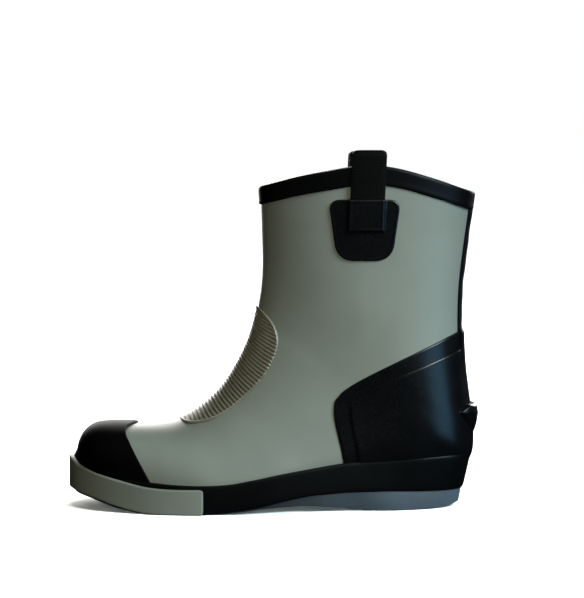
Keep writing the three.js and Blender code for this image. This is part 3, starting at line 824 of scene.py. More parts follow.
class Finish(Enum):
    """The boot's finishes."""

    GREY = MouldedRubber("moulded_grey", (0.135, 0.15, 0.128), (0.155, 0.172, 0.148), 0.42, 0.25)
    # The ribbed panel's finish is the grey rubber with painted warm light: its colours are warmer and
    # yellower than the plain grey's.
    GREY_RIB_PAINTED_WARM_LIGHT = MouldedRubber("moulded_grey_ribs_painted_warm_light", (0.118, 0.115, 0.085), (0.15, 0.147, 0.113), 0.36, 0.5)
    BLACK = MouldedRubber("moulded_black", (0.0014, 0.0016, 0.0019), (0.0024, 0.0027, 0.0031), 0.27, 0.3)
    SOFT_BLACK = MouldedRubber(
        "moulded_black_soft", (0.0010, 0.0011, 0.0012), (0.0017, 0.0019, 0.0021), 0.4, 0.1,
    )
    CAP = MouldedRubber("moulded_black_matt", (0.0007, 0.0007, 0.0008), (0.0011, 0.0011, 0.0012), 0.55, 0.03)
    SOLE = CompoundSole("sole_compound", (0.05, 0.068, 0.085), (0.075, 0.098, 0.12))
    KNIT = KnitLining("knit", (0.012, 0.013, 0.014), (0.045, 0.047, 0.05))
    WEB = Webbing("webbing_weave", (0.0006, 0.0006, 0.0006), (0.0018, 0.0017, 0.0015))
    BOARD = PressedSheet("pressed_board", (0.24, 0.19, 0.12), (0.36, 0.3, 0.2), 700)
    FOAM = PressedSheet("closed_cell_foam", (0.025, 0.028, 0.03), (0.05, 0.054, 0.06), 1400)

    @property
    def material(self) -> bpy.types.Material:
        """The finish's material, built the first time it is asked for."""
        return bpy.data.materials.get(self.value.name) or self.value.make()


# ------------------------------------------------------------------ the bench


class Bench:
    """Starts pieces from primitives and finishes them once they are shaped."""

    @staticmethod
    def clear() -> None:
        """Selects nothing."""
        bpy.ops.object.select_all(action="DESELECT")

    @classmethod
    def _named(cls, name: str) -> tuple[bpy.types.Object, np.ndarray]:
        """Names the primitive just added and reads its vertices.

        Args:
            name: the piece's name.

        Returns:
            The piece and its vertices.
        """
        piece = bpy.context.object
        piece.name = piece.data.name = name
        return piece, cls.read(piece)

    @staticmethod
    def read(piece: bpy.types.Object) -> np.ndarray:
        """The piece's vertices as an array.

        Args:
            piece: the piece.

        Returns:
            One row for each vertex.
        """
        flat = np.empty(3 * len(piece.data.vertices))
        piece.data.vertices.foreach_get("co", flat)
        return flat.reshape(-1, 3)

    @classmethod
    def slab(cls, name: str, columns: int, rows: int) -> tuple[bpy.types.Object, np.ndarray]:
        """A grid with a thickness, to be laid on the boot.

        Args:
            name: the piece's name.
            columns: faces along the first axis.
            rows: faces along the second.

        Returns:
            The piece, and for each vertex its share of each axis, with 1 on the upper face.
        """
        cls.clear()
        bpy.ops.mesh.primitive_grid_add(x_subdivisions=columns, y_subdivisions=rows, size=1)
        bpy.ops.object.mode_set(mode="EDIT")
        bpy.ops.mesh.select_all(action="SELECT")
        bpy.ops.mesh.extrude_region_move(TRANSFORM_OT_translate={"value": (0, 0, 1)})
        bpy.ops.object.mode_set(mode="OBJECT")
        piece, seen = cls._named(name)
        return piece, seen + (0.5, 0.5, 0)

    @classmethod
    def ring(cls, name: str, around: int, section: int) -> tuple[bpy.types.Object, np.ndarray, np.ndarray]:
        """A torus, to be turned into a closed strip of any section.

        Args:
            name: the piece's name.
            around: faces round the strip.
            section: points of its section.

        Returns:
            The piece, and for each vertex its share of the way round and its place in the section.
        """
        cls.clear()
        bpy.ops.mesh.primitive_torus_add(
            major_segments=around, minor_segments=section, major_radius=1, minor_radius=0.25,
        )
        piece, seen = cls._named(name)
        major = np.arctan2(seen[:, 1], seen[:, 0]) / (2 * np.pi)
        minor = np.arctan2(seen[:, 2], np.hypot(seen[:, 0], seen[:, 1]) - 1) / (2 * np.pi)
        place = np.rint(np.mod(minor, 1) * section).astype(int) % section
        return piece, np.rint(np.mod(major, 1) * around) % around / around, place

    @classmethod
    def lens(cls, name: str, around: int, rings: int) -> tuple[bpy.types.Object, np.ndarray, np.ndarray]:
        """A sphere, to be turned into a flat piece with a rim.

        Args:
            name: the piece's name.
            around: faces round the rim.
            rings: faces from the middle of one face to the middle of the other.

        Returns:
            The piece, and for each vertex its angle as a share and its ring, 0 at the outer face's middle.
        """
        cls.clear()
        bpy.ops.mesh.primitive_uv_sphere_add(segments=around, ring_count=rings, radius=1)
        piece, seen = cls._named(name)
        angle = np.mod(np.arctan2(seen[:, 1], seen[:, 0]) / (2 * np.pi), 1)
        ring = np.rint(np.arccos(np.clip(seen[:, 2], -1, 1)) / np.pi * rings)
        return piece, angle, ring

    @classmethod
    def settle(
        cls, piece: bpy.types.Object, points: np.ndarray, finish: Finish, crease: float = 50.0,
    ) -> bpy.types.Object:
        """Lays a piece's vertices in place, faces it outwards and gives it its finish.

        Args:
            piece: the piece.
            points: a point of the last's draft for each vertex.
            finish: its finish.
            crease: degrees past which an edge stays sharp.

        Returns:
            The piece.
        """
        piece.data.vertices.foreach_set("co", to_row(points).ravel())
        piece.data.update()
        cls.clear()
        bpy.context.view_layer.objects.active = piece
        piece.select_set(True)
        bpy.ops.object.mode_set(mode="EDIT")
        bpy.ops.mesh.select_all(action="SELECT")
        bpy.ops.mesh.remove_doubles(threshold=1e-6)
        bpy.ops.mesh.normals_make_consistent(inside=False)
        bpy.ops.object.mode_set(mode="OBJECT")
        bpy.ops.object.shade_smooth_by_angle(angle=math.radians(crease))
        piece.data.materials.clear()
        piece.data.materials.append(finish.material)
        return piece

    @staticmethod
    def chart(piece: bpy.types.Object, across: np.ndarray, along: np.ndarray) -> None:
        """Writes a UV map named lay, in millimetres, from a value for each vertex.

        Args:
            piece: the piece, before its doubles are merged.
            across: the first coordinate.
            along: the second.
        """
        layer = piece.data.uv_layers.get("lay") or piece.data.uv_layers.new(name="lay")
        index = np.empty(len(piece.data.loops), int)
        piece.data.loops.foreach_get("vertex_index", index)
        layer.data.foreach_set("uv", np.stack([across[index], along[index]], -1).ravel())


def profile(place: np.ndarray, points: list) -> tuple[np.ndarray, np.ndarray]:
    """Reads a section's two coordinates for each vertex's place in it.

    Args:
        place: the place of each vertex.
        points: the section's points.

    Returns:
        The first and the second coordinate of each vertex.
    """
    drawn = np.asarray(points, float)
    return drawn[place, 0], drawn[place, 1]


def rows_by_edge(rows: np.ndarray, length: np.ndarray, near: bool, far: bool) -> np.ndarray:
    """Moves a slab's outer rows close to its edges, so that they can be rounded.

    Args:
        rows: each vertex's share of the way along, on even rows.
        length: the way's length at each vertex, in millimetres.
        near: whether the start has such an edge.
        far: whether the end has.

    Returns:
        The new shares.
    """
    steps = np.array([0, 0.15, 0.4, 0.8, 1.4])
    edge = len(steps) - 1
    count = len(np.unique(np.round(rows, 6))) - 1
    index = np.rint(rows * count).astype(int)
    squeeze = np.minimum(1, length / (4 * steps[-1]))

    def crowded(away: np.ndarray) -> np.ndarray:
        """The share of the way that a row takes up next to an edge, by its count from there."""
        return steps[np.minimum(away, edge)] * squeeze / np.maximum(length, 1e-6)

    margin = crowded(np.full_like(index, edge))
    low = margin if near else np.zeros_like(margin)
    high = 1 - margin if far else np.ones_like(margin)
    start, stop = (edge if near else 0), (count - edge if far else count)
    result = low + (high - low) * (index - start) / (stop - start)
    if near:
        result = np.where(index < edge, crowded(index), result)
    if far:
        result = np.where(count - index < edge, 1 - crowded(count - index), result)
    return result


# ------------------------------------------------------------------ sub-assemblies


def hand_over(piece: bpy.types.Object, body: str, *nodes: str) -> bpy.types.Object:
    """Lets a finished piece ride its body in place of CAD nodes, and reports it.

    Args:
        piece: the piece.
        body: the CAD body it moves with.
        nodes: the CAD nodes it stands for.

    Returns:
        The piece.
    """
    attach(piece, body)
    if nodes:
        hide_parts(*nodes)
    LOG.info("%s rides %s, %d faces", piece.name, body, len(piece.data.polygons))
    return piece


@dataclass
class Wall:
    """The upper's rubber skin and the two linings that hang inside it."""

    around: int = 168
    outer_rows: int = 190
    seam_height: float = 118.0
    tape_half: float = 5.0
    tape_thickness: float = 0.7

    def shell(
        self, name: str, start: Callable, stop: Callable, outer: float, inner: float,
        rows: tuple[int, int], finish: Finish,
    ) -> bpy.types.Object:
        """A closed shell between two offsets and two ends.

        Args:
            name: the piece's name.
            start: the first share for an array of turns.
            stop: the last share.
            outer: the outer face's offset.
            inner: the inner face's offset.
            rows: how many rows the outer and inner faces take.
            finish: its finish.

        Returns:
            The piece.
        """
        out, back = rows
        piece, round_, place = Bench.ring(name, self.around, out + back)
        turns = np.arange(self.around) / self.around * 2 * np.pi
        index = np.rint(round_ * self.around).astype(int)
        first, final = start(turns)[index], stop(turns)[index]
        outside = place < out
        way = np.where(outside, place / (out - 1), 1 - (place - out) / (back - 1))
        share = first + (final - first) * way
        points = LAST.at(share, turns[index], np.where(outside, outer, inner))
        return Bench.settle(piece, points, finish)

    def seam(self, lift: float) -> Callable[[np.ndarray], np.ndarray]:
        """A function from turns to the shares that lie a lift above the linings' seam."""
        return lambda turns: LAST.share_by(turns, lambda x, z: z - self.seam_height - lift)

    def build(self) -> None:
        """Makes the skin, both linings and the tape over their seam."""
        toe, seam = np.zeros_like, self.seam

        def rim(turns: np.ndarray) -> np.ndarray:
            """The shares at which the rubber and the lining end, under the binding."""
            return LAST.below_rim(turns, LAID)

        skin = self.shell("upper_skin", toe, rim, 0, -RUBBER, (self.outer_rows, 24), Finish.GREY)
        hand_over(skin, "boot", "rubber_upper")
        face = -(RUBBER + FIT_GAP)
        foot = self.shell("lining_of_foot", toe, seam(0), face, -WALL, (24, 110), Finish.KNIT)
        hand_over(foot, "boot", "lining_foot")
        shaft = self.shell("lining_of_shaft", seam(FIT_GAP), rim, face, -WALL, (24, 90), Finish.KNIT)
        hand_over(shaft, "boot", "lining_shaft")
        tape = self.shell(
            "lining_seam_tape", seam(-self.tape_half), seam(self.tape_half),
            -WALL, -WALL - self.tape_thickness, (8, 8), Finish.WEB,
        )
        hand_over(tape, "boot")


@dataclass
class Footbed:
    """The loose footbed: foam under a knit cover, dished for the heel."""

    columns: int = 110
    rows: int = 36
    board_top: float = WALL + FIT_GAP + INSOLE_BOARD
    thickness: float = 5.3
    inset: float = -WALL - 1.25
    dish: float = 1.3
    dish_reach: float = 14.0
    rounding: float = 1.2

    def height(self, x: np.ndarray, rise: np.ndarray | float) -> np.ndarray:
        """The footbed's height at X, from its underside to its face."""
        return LAST.base_line(x) + self.board_top + FIT_GAP + self.thickness * rise

    def edge(self, share: np.ndarray, side: Side) -> np.ndarray:
        """Where the wall's inner face meets the footbed's middle, for each share.

        Args:
            share: shares from toe to heel.
            side: which side of the boot.

        Returns:
            A point for each share.
        """
        turns = np.linspace(math.pi * 0.4, math.pi, 600)
        grid = LAST.point(share[:, None], side.value * turns[None, :])
        miss = grid[..., 2] - self.height(grid[..., 0], 0.5)
        turn = np.array([np.interp(0, row[::-1], turns[::-1]) for row in miss])
        return LAST.at(share, side.value * turn, self.inset)

    def build(self) -> None:
        """Makes the footbed in one padded piece."""
        piece, lay = Bench.slab("footbed", self.columns, self.rows)
        shares = np.linspace(0, 1, 1200)
        base = LAST.at(shares, np.full_like(shares, math.pi), 0)
        meets = base[:, 2] - self.height(base[:, 0], 0.5)
        end = shares[np.nonzero((meets > 0) & (shares > 0.5))[0][0]]
        fraction = np.unique(np.round(lay[:, 0], 6))
        share = end * (1 - np.cos(np.pi * (0.12 + 0.88 * fraction))) / 2
        share = (share - share[0]) / (share[-1] - share[0]) * end * 0.9985
        index = np.rint(lay[:, 0] * self.columns).astype(int)
        left = self.edge(share, Side.LATERAL)[index]
        right = self.edge(share, Side.MEDIAL)[index]
        ease_y = (1 - np.cos(np.pi * lay[:, 1])) / 2
        points = left + (right - left) * ease_y[:, None]
        up = lay[:, 2]
        rim = np.minimum(ease_y, 1 - ease_y) * (right - left)[:, 1]
        cup = self.dish * (1 - ease(0, self.dish_reach, rim)) * up
        points[:, 2] = self.height(points[:, 0], up) + cup - up * 0.8 * (1 - dome(rim, self.rounding))
        Bench.settle(piece, points, Finish.KNIT)
        hand_over(piece, "footbed", "footbed_foam", "footbed_cover")


@dataclass
class SoleUnit:
    """The outsole with its tread, the black sidewall and the grey toe bumper."""

    columns: int = 400
    rows: int = 150
    inset: float = 1.2
    groove_pitch: float = 7.0
    groove_width: float = 2.1
    groove_depth: float = 1.7
    zigzag_pitch: float = 16.0
    zigzag_reach: float = 2.4
    border: float = 6.0
    arch_front: tuple = (-44.0, -36.0)
    arch_back: tuple = (66.0, 74.0)
    arch_tuck: float = 7.0
    half_length: float = 151.0
    bumper_length: float = 98.4
    bumper_height: float = 18.0
    bumper_corner: float = 2.6

    def tread(self, x: np.ndarray, y: np.ndarray, edge: np.ndarray) -> np.ndarray:
        """How deep the tread is cut at each point.

        Args:
            x: along the sole.
            y: across it.
            edge: the distance from the sole's edge.

        Returns:
            Depths in millimetres.
        """
        wave = self.zigzag_reach * np.abs(np.mod(y / self.zigzag_pitch, 1) * 2 - 1) * 2
        phase = np.mod((x + wave) / self.groove_pitch, 1)
        away = np.abs(phase - 0.5) * self.groove_pitch
        groove = 1 - ease(self.groove_width / 2 - 0.5, self.groove_width / 2 + 0.5, away)
        blocks = ease(self.border - 0.6, self.border + 0.6, edge)
        waist = 1 - ease(*self.arch_front, x) * (1 - ease(*self.arch_back, x))
        gutter = 1 - ease(0.5, 1.3, np.abs(edge - self.border))
        return self.groove_depth * np.maximum(groove * blocks, gutter * 0.9) * waist

    def outsole(self) -> bpy.types.Object:
        """Makes the outsole."""
        piece, lay = Bench.slab("outsole_tread", self.columns, self.rows)
        fraction = (1 - np.cos(np.pi * lay[:, 0])) / 2
        index = np.rint(lay[:, 0] * self.columns).astype(int)
        even = (1 - np.cos(np.pi * np.arange(self.columns + 1) / self.columns)) / 2

        def top(x: np.ndarray) -> np.ndarray:
            """The outsole's upper face, half a gap under the sidewall."""
            return FOXING_BASE(x) - FIT_GAP * 0.5

        x0, a0, b0 = (v[index] for v in PLAN.sides(self.inset, WALKING, even))
        tuck = self.arch_tuck * ease(-30, 10, x0) * (1 - ease(58, 96, x0))
        a0, b0 = a0 + tuck, b0 - tuck
        x1, a1, b1 = (v[index] for v in PLAN.sides(self.inset, top, even))
        upper = lay[:, 2] > 0.5
        x, a, b = (np.where(upper, one, two) for one, two in ((x1, x0), (a1, a0), (b1, b0)))
        y = a + (b - a) * lay[:, 1]
        ends = self.half_length * np.sin(np.pi * np.clip(fraction, 0, 1)) * 0.9
        edge = np.minimum(np.minimum(y - a, b - y), np.maximum(ends, 0))
        bottom = WALKING(x) + self.tread(x, y, edge) + 0.7 * (1 - dome(edge, 0.9))
        z = np.where(upper, np.maximum(top(x), WALKING(x) + 0.4), bottom)
        return Bench.settle(piece, np.stack([x, y, z], -1), Finish.SOLE)

    def foxing(self) -> bpy.types.Object:
        """Makes the sidewall, flat-faced with eased edges."""
        section = [
            (FOXING_DEPTH, 0), (FOXING_DEPTH, 0.5), (FOXING_DEPTH, 1), (5, 1), (2, 1), (1.0, 0.998),
            (0.5, 0.985), (0.15, 0.96), (-0.05, 0.92), (-0.18, 0.85), (-0.28, 0.72), (-0.3, 0.58),
            (-0.3, 0.44), (-0.28, 0.3), (-0.2, 0.16), (-0.08, 0.08), (0.1, 0.03), (0.4, 0.006), (0.8, 0),
            (3, 0),
        ]
        piece, round_, place = Bench.ring("foxing", 260, len(section))
        inset, rise = profile(place, section)
        ring = PLAN.at(round_, inset, FOXING_BASE, FOXING_TOP, rise)
        tip = 1 - ease(-149, -139, ring[:, 0])
        rise = rise - 0.17 * tip * (1 - ease(0, 4.5, inset)) * ease(0.7, 0.95, rise)
        points = PLAN.at(round_, inset, FOXING_BASE, FOXING_TOP, rise)
        return Bench.settle(piece, points, Finish.SOFT_BLACK, crease=60)

    def bumper(self) -> bpy.types.Object:
        """Makes the toe bumper, a strip with square ends and rounded corners."""
        piece, lay = Bench.slab("toe_bumper_strip", 170, 26)
        shares = np.linspace(-0.5, 0.5, 4001)
        ring = PLAN.at(shares, np.zeros_like(shares), WALKING, WALKING, np.zeros_like(shares))
        reach = np.nonzero(ring[:, 0] < TOE_END + self.bumper_length)[0]
        start, stop = shares[reach[0]], shares[reach[-1]]
        length = (stop - start) * PLAN.length
        way = rows_by_edge(lay[:, 0], np.full(len(lay), length), True, True)
        end = np.minimum(way, 1 - way) * length
        share = start + (stop - start) * way
        height = self.bumper_height
        rise = rows_by_edge(lay[:, 1], np.full(len(lay), height), True, True)
        corner = self.bumper_corner
        short = corner - np.sqrt(np.maximum(corner**2 - np.maximum(corner - end, 0) ** 2, 0))
        rise = rise * (1 - 2 * short / height) + short / height
        rim = np.minimum(np.minimum(end, rise * height), (1 - rise) * height)
        tip = 1.1 * ease(0.2, 0.5, 0.5 - np.abs(share) * 4)
        outward = 0.35 + (BUMPER + 0.25 + tip) * np.where(lay[:, 2] > 0.5, 0.42 + 0.58 * dome(rim, 0.9), 0)
        points = PLAN.at(share, -outward, BUMPER_BASE, BUMPER_TOP, rise)
        return Bench.settle(piece, points, Finish.GREY, crease=60)

    def build(self) -> None:
        """Makes all three."""
        hand_over(self.outsole(), "boot", "outsole")
        hand_over(self.foxing(), "boot", "foxing_band")
        hand_over(self.bumper(), "boot", "toe_bumper")


@dataclass
class LaidRubber:
    """The sheets of rubber laid on the upper: toe cap, ribbed instep, counter, guard, strip, lug."""

    cap: Outline = field(default_factory=lambda: Outline(
        [(-94, 70), (-94.4, 62.6), (-100, 61.6), (-105.6, 60.6), (-109, 58.6), (-109, 55.7),
         (-105.6, 49.9), (-99.7, 39.9), (-93.9, 29.9), (-88, 19)], [(-88, 0), (-175, 0), (-175, 70)]))
    ribs: Outline = field(default_factory=lambda: Outline(
        [(-12.2, 149.6), (-7, 144.6), (-3, 140.2), (0.4, 135.1), (2.2, 130.1), (3.1, 124.9),
         (2.6, 119.7), (0.9, 113.8), (-2.3, 106.6), (-7, 98.8), (-13.5, 90.8), (-20.7, 84),
         (-29.2, 76.5), (-37.1, 71), (-45, 66.7), (-53.6, 64.1), (-61.7, 62.8), (-67.2, 63.6),
         (-73, 66.5)], [(-110, 110), (-60, 165)]))
    counter: Outline = field(default_factory=lambda: Outline(
        [(165, 139), (133.1, 129.2), (117.8, 122.7), (100.5, 115), (83.7, 107.1), (67, 98.7),
         (55.3, 91.9), (47.7, 86.1), (44.4, 81.2), (43.4, 74.4), (44.3, 65.3), (46.9, 53.6),
         (49.3, 42.8), (51.5, 30)], [(165, 30)]))
    guard: Outline = field(default_factory=lambda: Outline(
        [(165, 125), (136.2, 117.4), (117.8, 110.5), (100.6, 103.3), (83.8, 96.3), (67, 87.8),
         (59.5, 82.8), (56.1, 77.8), (55.6, 71.1), (56.5, 63.6), (57.8, 56.1), (59.5, 46), (61, 34)],
        [(165, 34)]))
    rib_count: int = 39
    rib_bend: float = 0.009
    rib_fall: float = 0.25
    rib_sharpness: float = 1.4
    rib_top: float = 1.42
    rib_border: float = 1.35
    cap_turn: float = 0.64
    strip_foot: float = 30.0
    strip_half: float = 11.5
    lug_half: float = 22.0
    lug_reach: float = 5.8

    def toe_cap(self) -> bpy.types.Object:
        """Makes the toe cap, with its tongue back along the ridge."""
        piece, lay = Bench.slab("toe_cap_sheet", 220, 64)
        turn = lay[:, 0] * 2 - 1
        turn = np.sign(turn) * (0.35 * np.abs(turn) + 0.65 * np.abs(turn) ** 2) * math.pi * self.cap_turn
        turns, back = np.unique(np.round(turn, 9), return_inverse=True)
        _, stop = LAST.span(turns, self.cap)
        stop = stop[back]
        way = rows_by_edge(lay[:, 1], np.full(len(lay), 60.0), False, True)
        share = stop * way
        spot = LAST.point(share, turn)
        rim = self.cap.distance(spot[:, 0], spot[:, 2])
        lift = np.where(lay[:, 2] > 0.5, FIT_GAP + OVERLAY * (0.25 + 0.75 * dome(rim, 0.7)), 0.05)
        return Bench.settle(piece, LAST.at(share, turn, lift), Finish.CAP, crease=60)

    def rib_panel(self) -> bpy.types.Object:
        """Makes the instep panel: a thin raised rim round a field of ribs."""
        piece, lay = Bench.slab("instep_ribs", 72, 560)
        shares = np.linspace(0.2, 0.72, 1500)
        crest = LAST.point(shares, 0 * shares)
        held = shares[self.ribs.holds(crest[:, 0], crest[:, 2])]
        low, high = held[0], held[-1]
        rows, back = np.unique(np.round(lay[:, 1], 6), return_inverse=True)
        share = low + (high - low) * (0.001 + 0.998 * (0.1 * (1 - np.cos(np.pi * rows)) / 2 + 0.9 * rows))
        turns = np.linspace(0, 1.9, 700)
        reach = {}
        for side in Side:
            grid = LAST.point(share[:, None], side.value * turns[None, :])
            inside = self.ribs.holds(grid[..., 0], grid[..., 2])
            out = np.argmax(~inside, axis=1)
            reach[side] = turns[np.maximum(out, 1)]
            reach[side] = np.convolve(np.pad(reach[side], 2, "edge"), np.ones(5) / 5, "valid")
        across = lay[:, 0] * 2 - 1
        limit = np.where(across < 0, reach[Side.LATERAL][back], reach[Side.MEDIAL][back])
        turn = np.sign(across) * np.abs(across) ** 0.9 * limit
        share = share[back]
        spot = LAST.point(share, turn)
        rim = self.ribs.distance(spot[:, 0], spot[:, 2])
        length = distances(crest)
        begin, whole = np.interp([low, high], shares, length)
        middle = LAST.point(share, 0 * share)
        away = np.hypot(spot[:, 0] - middle[:, 0], spot[:, 2] - middle[:, 2])
        t = (np.interp(share, shares, length) - begin) / (whole - begin)
        steeper = self.rib_fall * (0.3 + 0.7 * np.sin(np.pi * np.clip(t, 0, 1)))
        t = t + (steeper * away - self.rib_bend * away**2) / (whole - begin)
        phase = self.rib_count * (0.82 * t + 0.18 * t * t)
        ridge = (0.5 - 0.5 * np.cos(2 * np.pi * phase)) ** self.rib_sharpness
        inner = ease(0.8, 1.4, rim)
        tall = 0.5 + 0.8 * ease(0.05, 0.3, np.abs(turn))
        border = self.rib_border * dome(rim, 0.45) * (1 - inner)
        lift = 0.35 + border + inner * (self.rib_top - tall * (1 - ridge))
        lift = np.where(lay[:, 2] > 0.5, lift, 0.05)
        # The ribs take the grey rubber with painted warm light.
        return Bench.settle(piece, LAST.at(share, turn, lift), Finish.GREY_RIB_PAINTED_WARM_LIGHT, crease=75)

    def heel_sheet(
        self, name: str, outline: Outline, low: float, high: float, columns: int, rounding: float,
    ) -> bpy.types.Object:
        """Makes a sheet that wraps round the heel.

        Args:
            name: the piece's name.
            outline: its side view.
            low: the offset of its underside.
            high: the offset of its face.
            columns: faces round the heel.
            rounding: the radius of its edge.

        Returns:
            The piece.
        """
        piece, lay = Bench.slab(name, columns, 70)
        probe = np.linspace(0.3, 2 * np.pi - 0.3, 900)
        spans = LAST.span(probe, outline)
        seen = ~np.isnan(spans[0])
        held = probe[seen]
        turn = held[0] + (held[-1] - held[0]) * (1 - np.cos(np.pi * lay[:, 0])) / 2
        start, stop = (np.interp(turn, held, limit[seen]) for limit in spans)
        way = rows_by_edge(lay[:, 1], (stop - start) * LAST_LENGTH, False, True)
        share = start + (stop - start) * way
        spot = LAST.point(share, turn)
        rim = outline.distance(spot[:, 0], spot[:, 2])
        lift = np.where(lay[:, 2] > 0.5, low + (high - low) * (0.2 + 0.8 * dome(rim, rounding)), low - 0.2)
        return Bench.settle(piece, LAST.at(share, turn, lift), Finish.BLACK, crease=60)

    def back_place(self, y: np.ndarray, z: np.ndarray) -> tuple[np.ndarray, np.ndarray]:
        """Shares and turns of points on the back, by Y and height.

        Args:
            y: across the boot.
            z: heights.

        Returns:
            Shares and turns.
        """
        return LAST.seek(np.stack([y, z], -1), (1, 2), lambda g: g[..., 0] > 70)

    def back_strip(self) -> bpy.types.Object:
        """Makes the strip up the back seam, stepping over the counter."""
        piece, lay = Bench.slab("back_seam_strip", 22, 150)
        y = (lay[:, 0] * 2 - 1) * self.strip_half
        top = 233.0 - BINDING_HEIGHT - FIT_GAP + 1.5
        z = self.strip_foot + (top - self.strip_foot) * lay[:, 1]
        share, turn = self.back_place(y, z)
        rim = self.strip_half - np.abs(y)
        over = 1 - ease(128.5, 134.5, z)
        waver = 0.18 * np.sin(z / 7.0) + 0.12 * np.sin(z / 3.1 + 1)
        face = LAID + 0.7 + waver * ease(134, 150, z) + over * 1.75
        lift = np.where(lay[:, 2] > 0.5, face - 0.8 * (1 - dome(rim, 1.6)), 0.05)
        return Bench.settle(piece, LAST.at(share, turn, lift), Finish.SOFT_BLACK, crease=60)

    def kick_lug(self) -> bpy.types.Object:
        """Makes the kick lug: flat on top, pointed towards its ends, rounded in front."""
        piece, lay = Bench.slab("kick_lug", 72, 40)
        across = np.sign(lay[:, 0] - 0.5) * (1 - (1 - np.abs(lay[:, 0] * 2 - 1)) ** 1.15)
        y = across * self.lug_half
        end = 1 - np.abs(across)
        top = 70.5 + 5.8 * np.clip(end / 0.32, 0, 1) ** 0.8
        base = 69.5 - 15.0 * np.clip(end / 0.62, 0, 1) ** 0.85
        v = (1 - np.cos(np.pi * lay[:, 1])) / 2
        z = base + (top - base) * v
        share, turn = self.back_place(y, z)
        belly = np.clip(v / 0.62, 0, 1) ** 0.62 * dome(1 - v, 0.16) ** 0.8
        reach = self.lug_reach * dome(end, 0.75) * belly
        lift = np.where(lay[:, 2] > 0.5, 2 * LAID - 0.2 + reach, LAID)
        return Bench.settle(piece, LAST.at(share, turn, lift), Finish.BLACK, crease=50)

    def build(self) -> None:
        """Makes every laid sheet."""
        hand_over(self.toe_cap(), "boot", "toe_cap")
        hand_over(self.rib_panel(), "boot", "instep_rib_panel")
        base = self.heel_sheet("heel_counter_sheet", self.counter, 0.25, LAID, 200, 0.8)
        hand_over(base, "boot", "heel_counter")
        guard = self.heel_sheet("heel_guard", self.guard, LAID, 2 * LAID, 190, 1.3)
        hand_over(guard, "boot", "heel_guard_lateral", "heel_guard_medial")
        hand_over(self.back_strip(), "boot", "back_strip")
        hand_over(self.kick_lug(), "boot", "heel_kick_lug")


@dataclass
class Collar:
    """The binding folded over the rim."""

    around: int = 200
    lip: float = 1.8

    def build(self) -> None:
        """Makes the binding."""
        low, out, inside = BINDING_HEIGHT, LAID + 0.15, -WALL - LAID
        section = [
            (low - 0.1, 0.35), (low, 0.7), (low - 0.1, 1.1), (low - 0.4, 1.4), (low - 1.1, out),
            (low - 3, out), (9, out - 0.05), (6, out), (3.5, out), (2.2, out + 0.05), (1.4, out - 0.05),
            (0.8, out - 0.35), (0.35, out - 0.9), (0.08, 0), (0, -2.5), (0.08, -5.2), (0.35, inside + 0.9),
            (0.8, inside + 0.35), (1.5, inside + 0.05), (3, inside), (6, inside), (9.2, inside),
            (9.8, inside + 0.25), (10, -WALL - 0.5), (9.8, -WALL - 0.3), (5, -WALL - 0.3),
            (1.5, -WALL - 0.3), (1.4, -2.5), (1.5, 0.25), (6, 0.3), (11, 0.3),
        ]
        piece, round_, place = Bench.ring("collar_binding_tape", self.around, len(section))
        drop, offset = profile(place, section)
        drop = drop - self.lip * (1 - ease(0, 6, drop))
        turns = np.arange(self.around) / self.around * 2 * np.pi
        index = np.rint(round_ * self.around).astype(int)
        share = np.zeros(len(index))
        for level in np.unique(drop):
            take = drop == level
            share[take] = LAST.below_rim(turns, level)[index[take]]
        behind = ease(-0.6, -0.95, np.cos(turns[index])) * (offset > 0.5)
        points = LAST.at(share, turns[index], offset + 0.8 * behind)
        Bench.settle(piece, points, Finish.SOFT_BLACK, crease=60)
        hand_over(piece, "boot", "collar_binding")


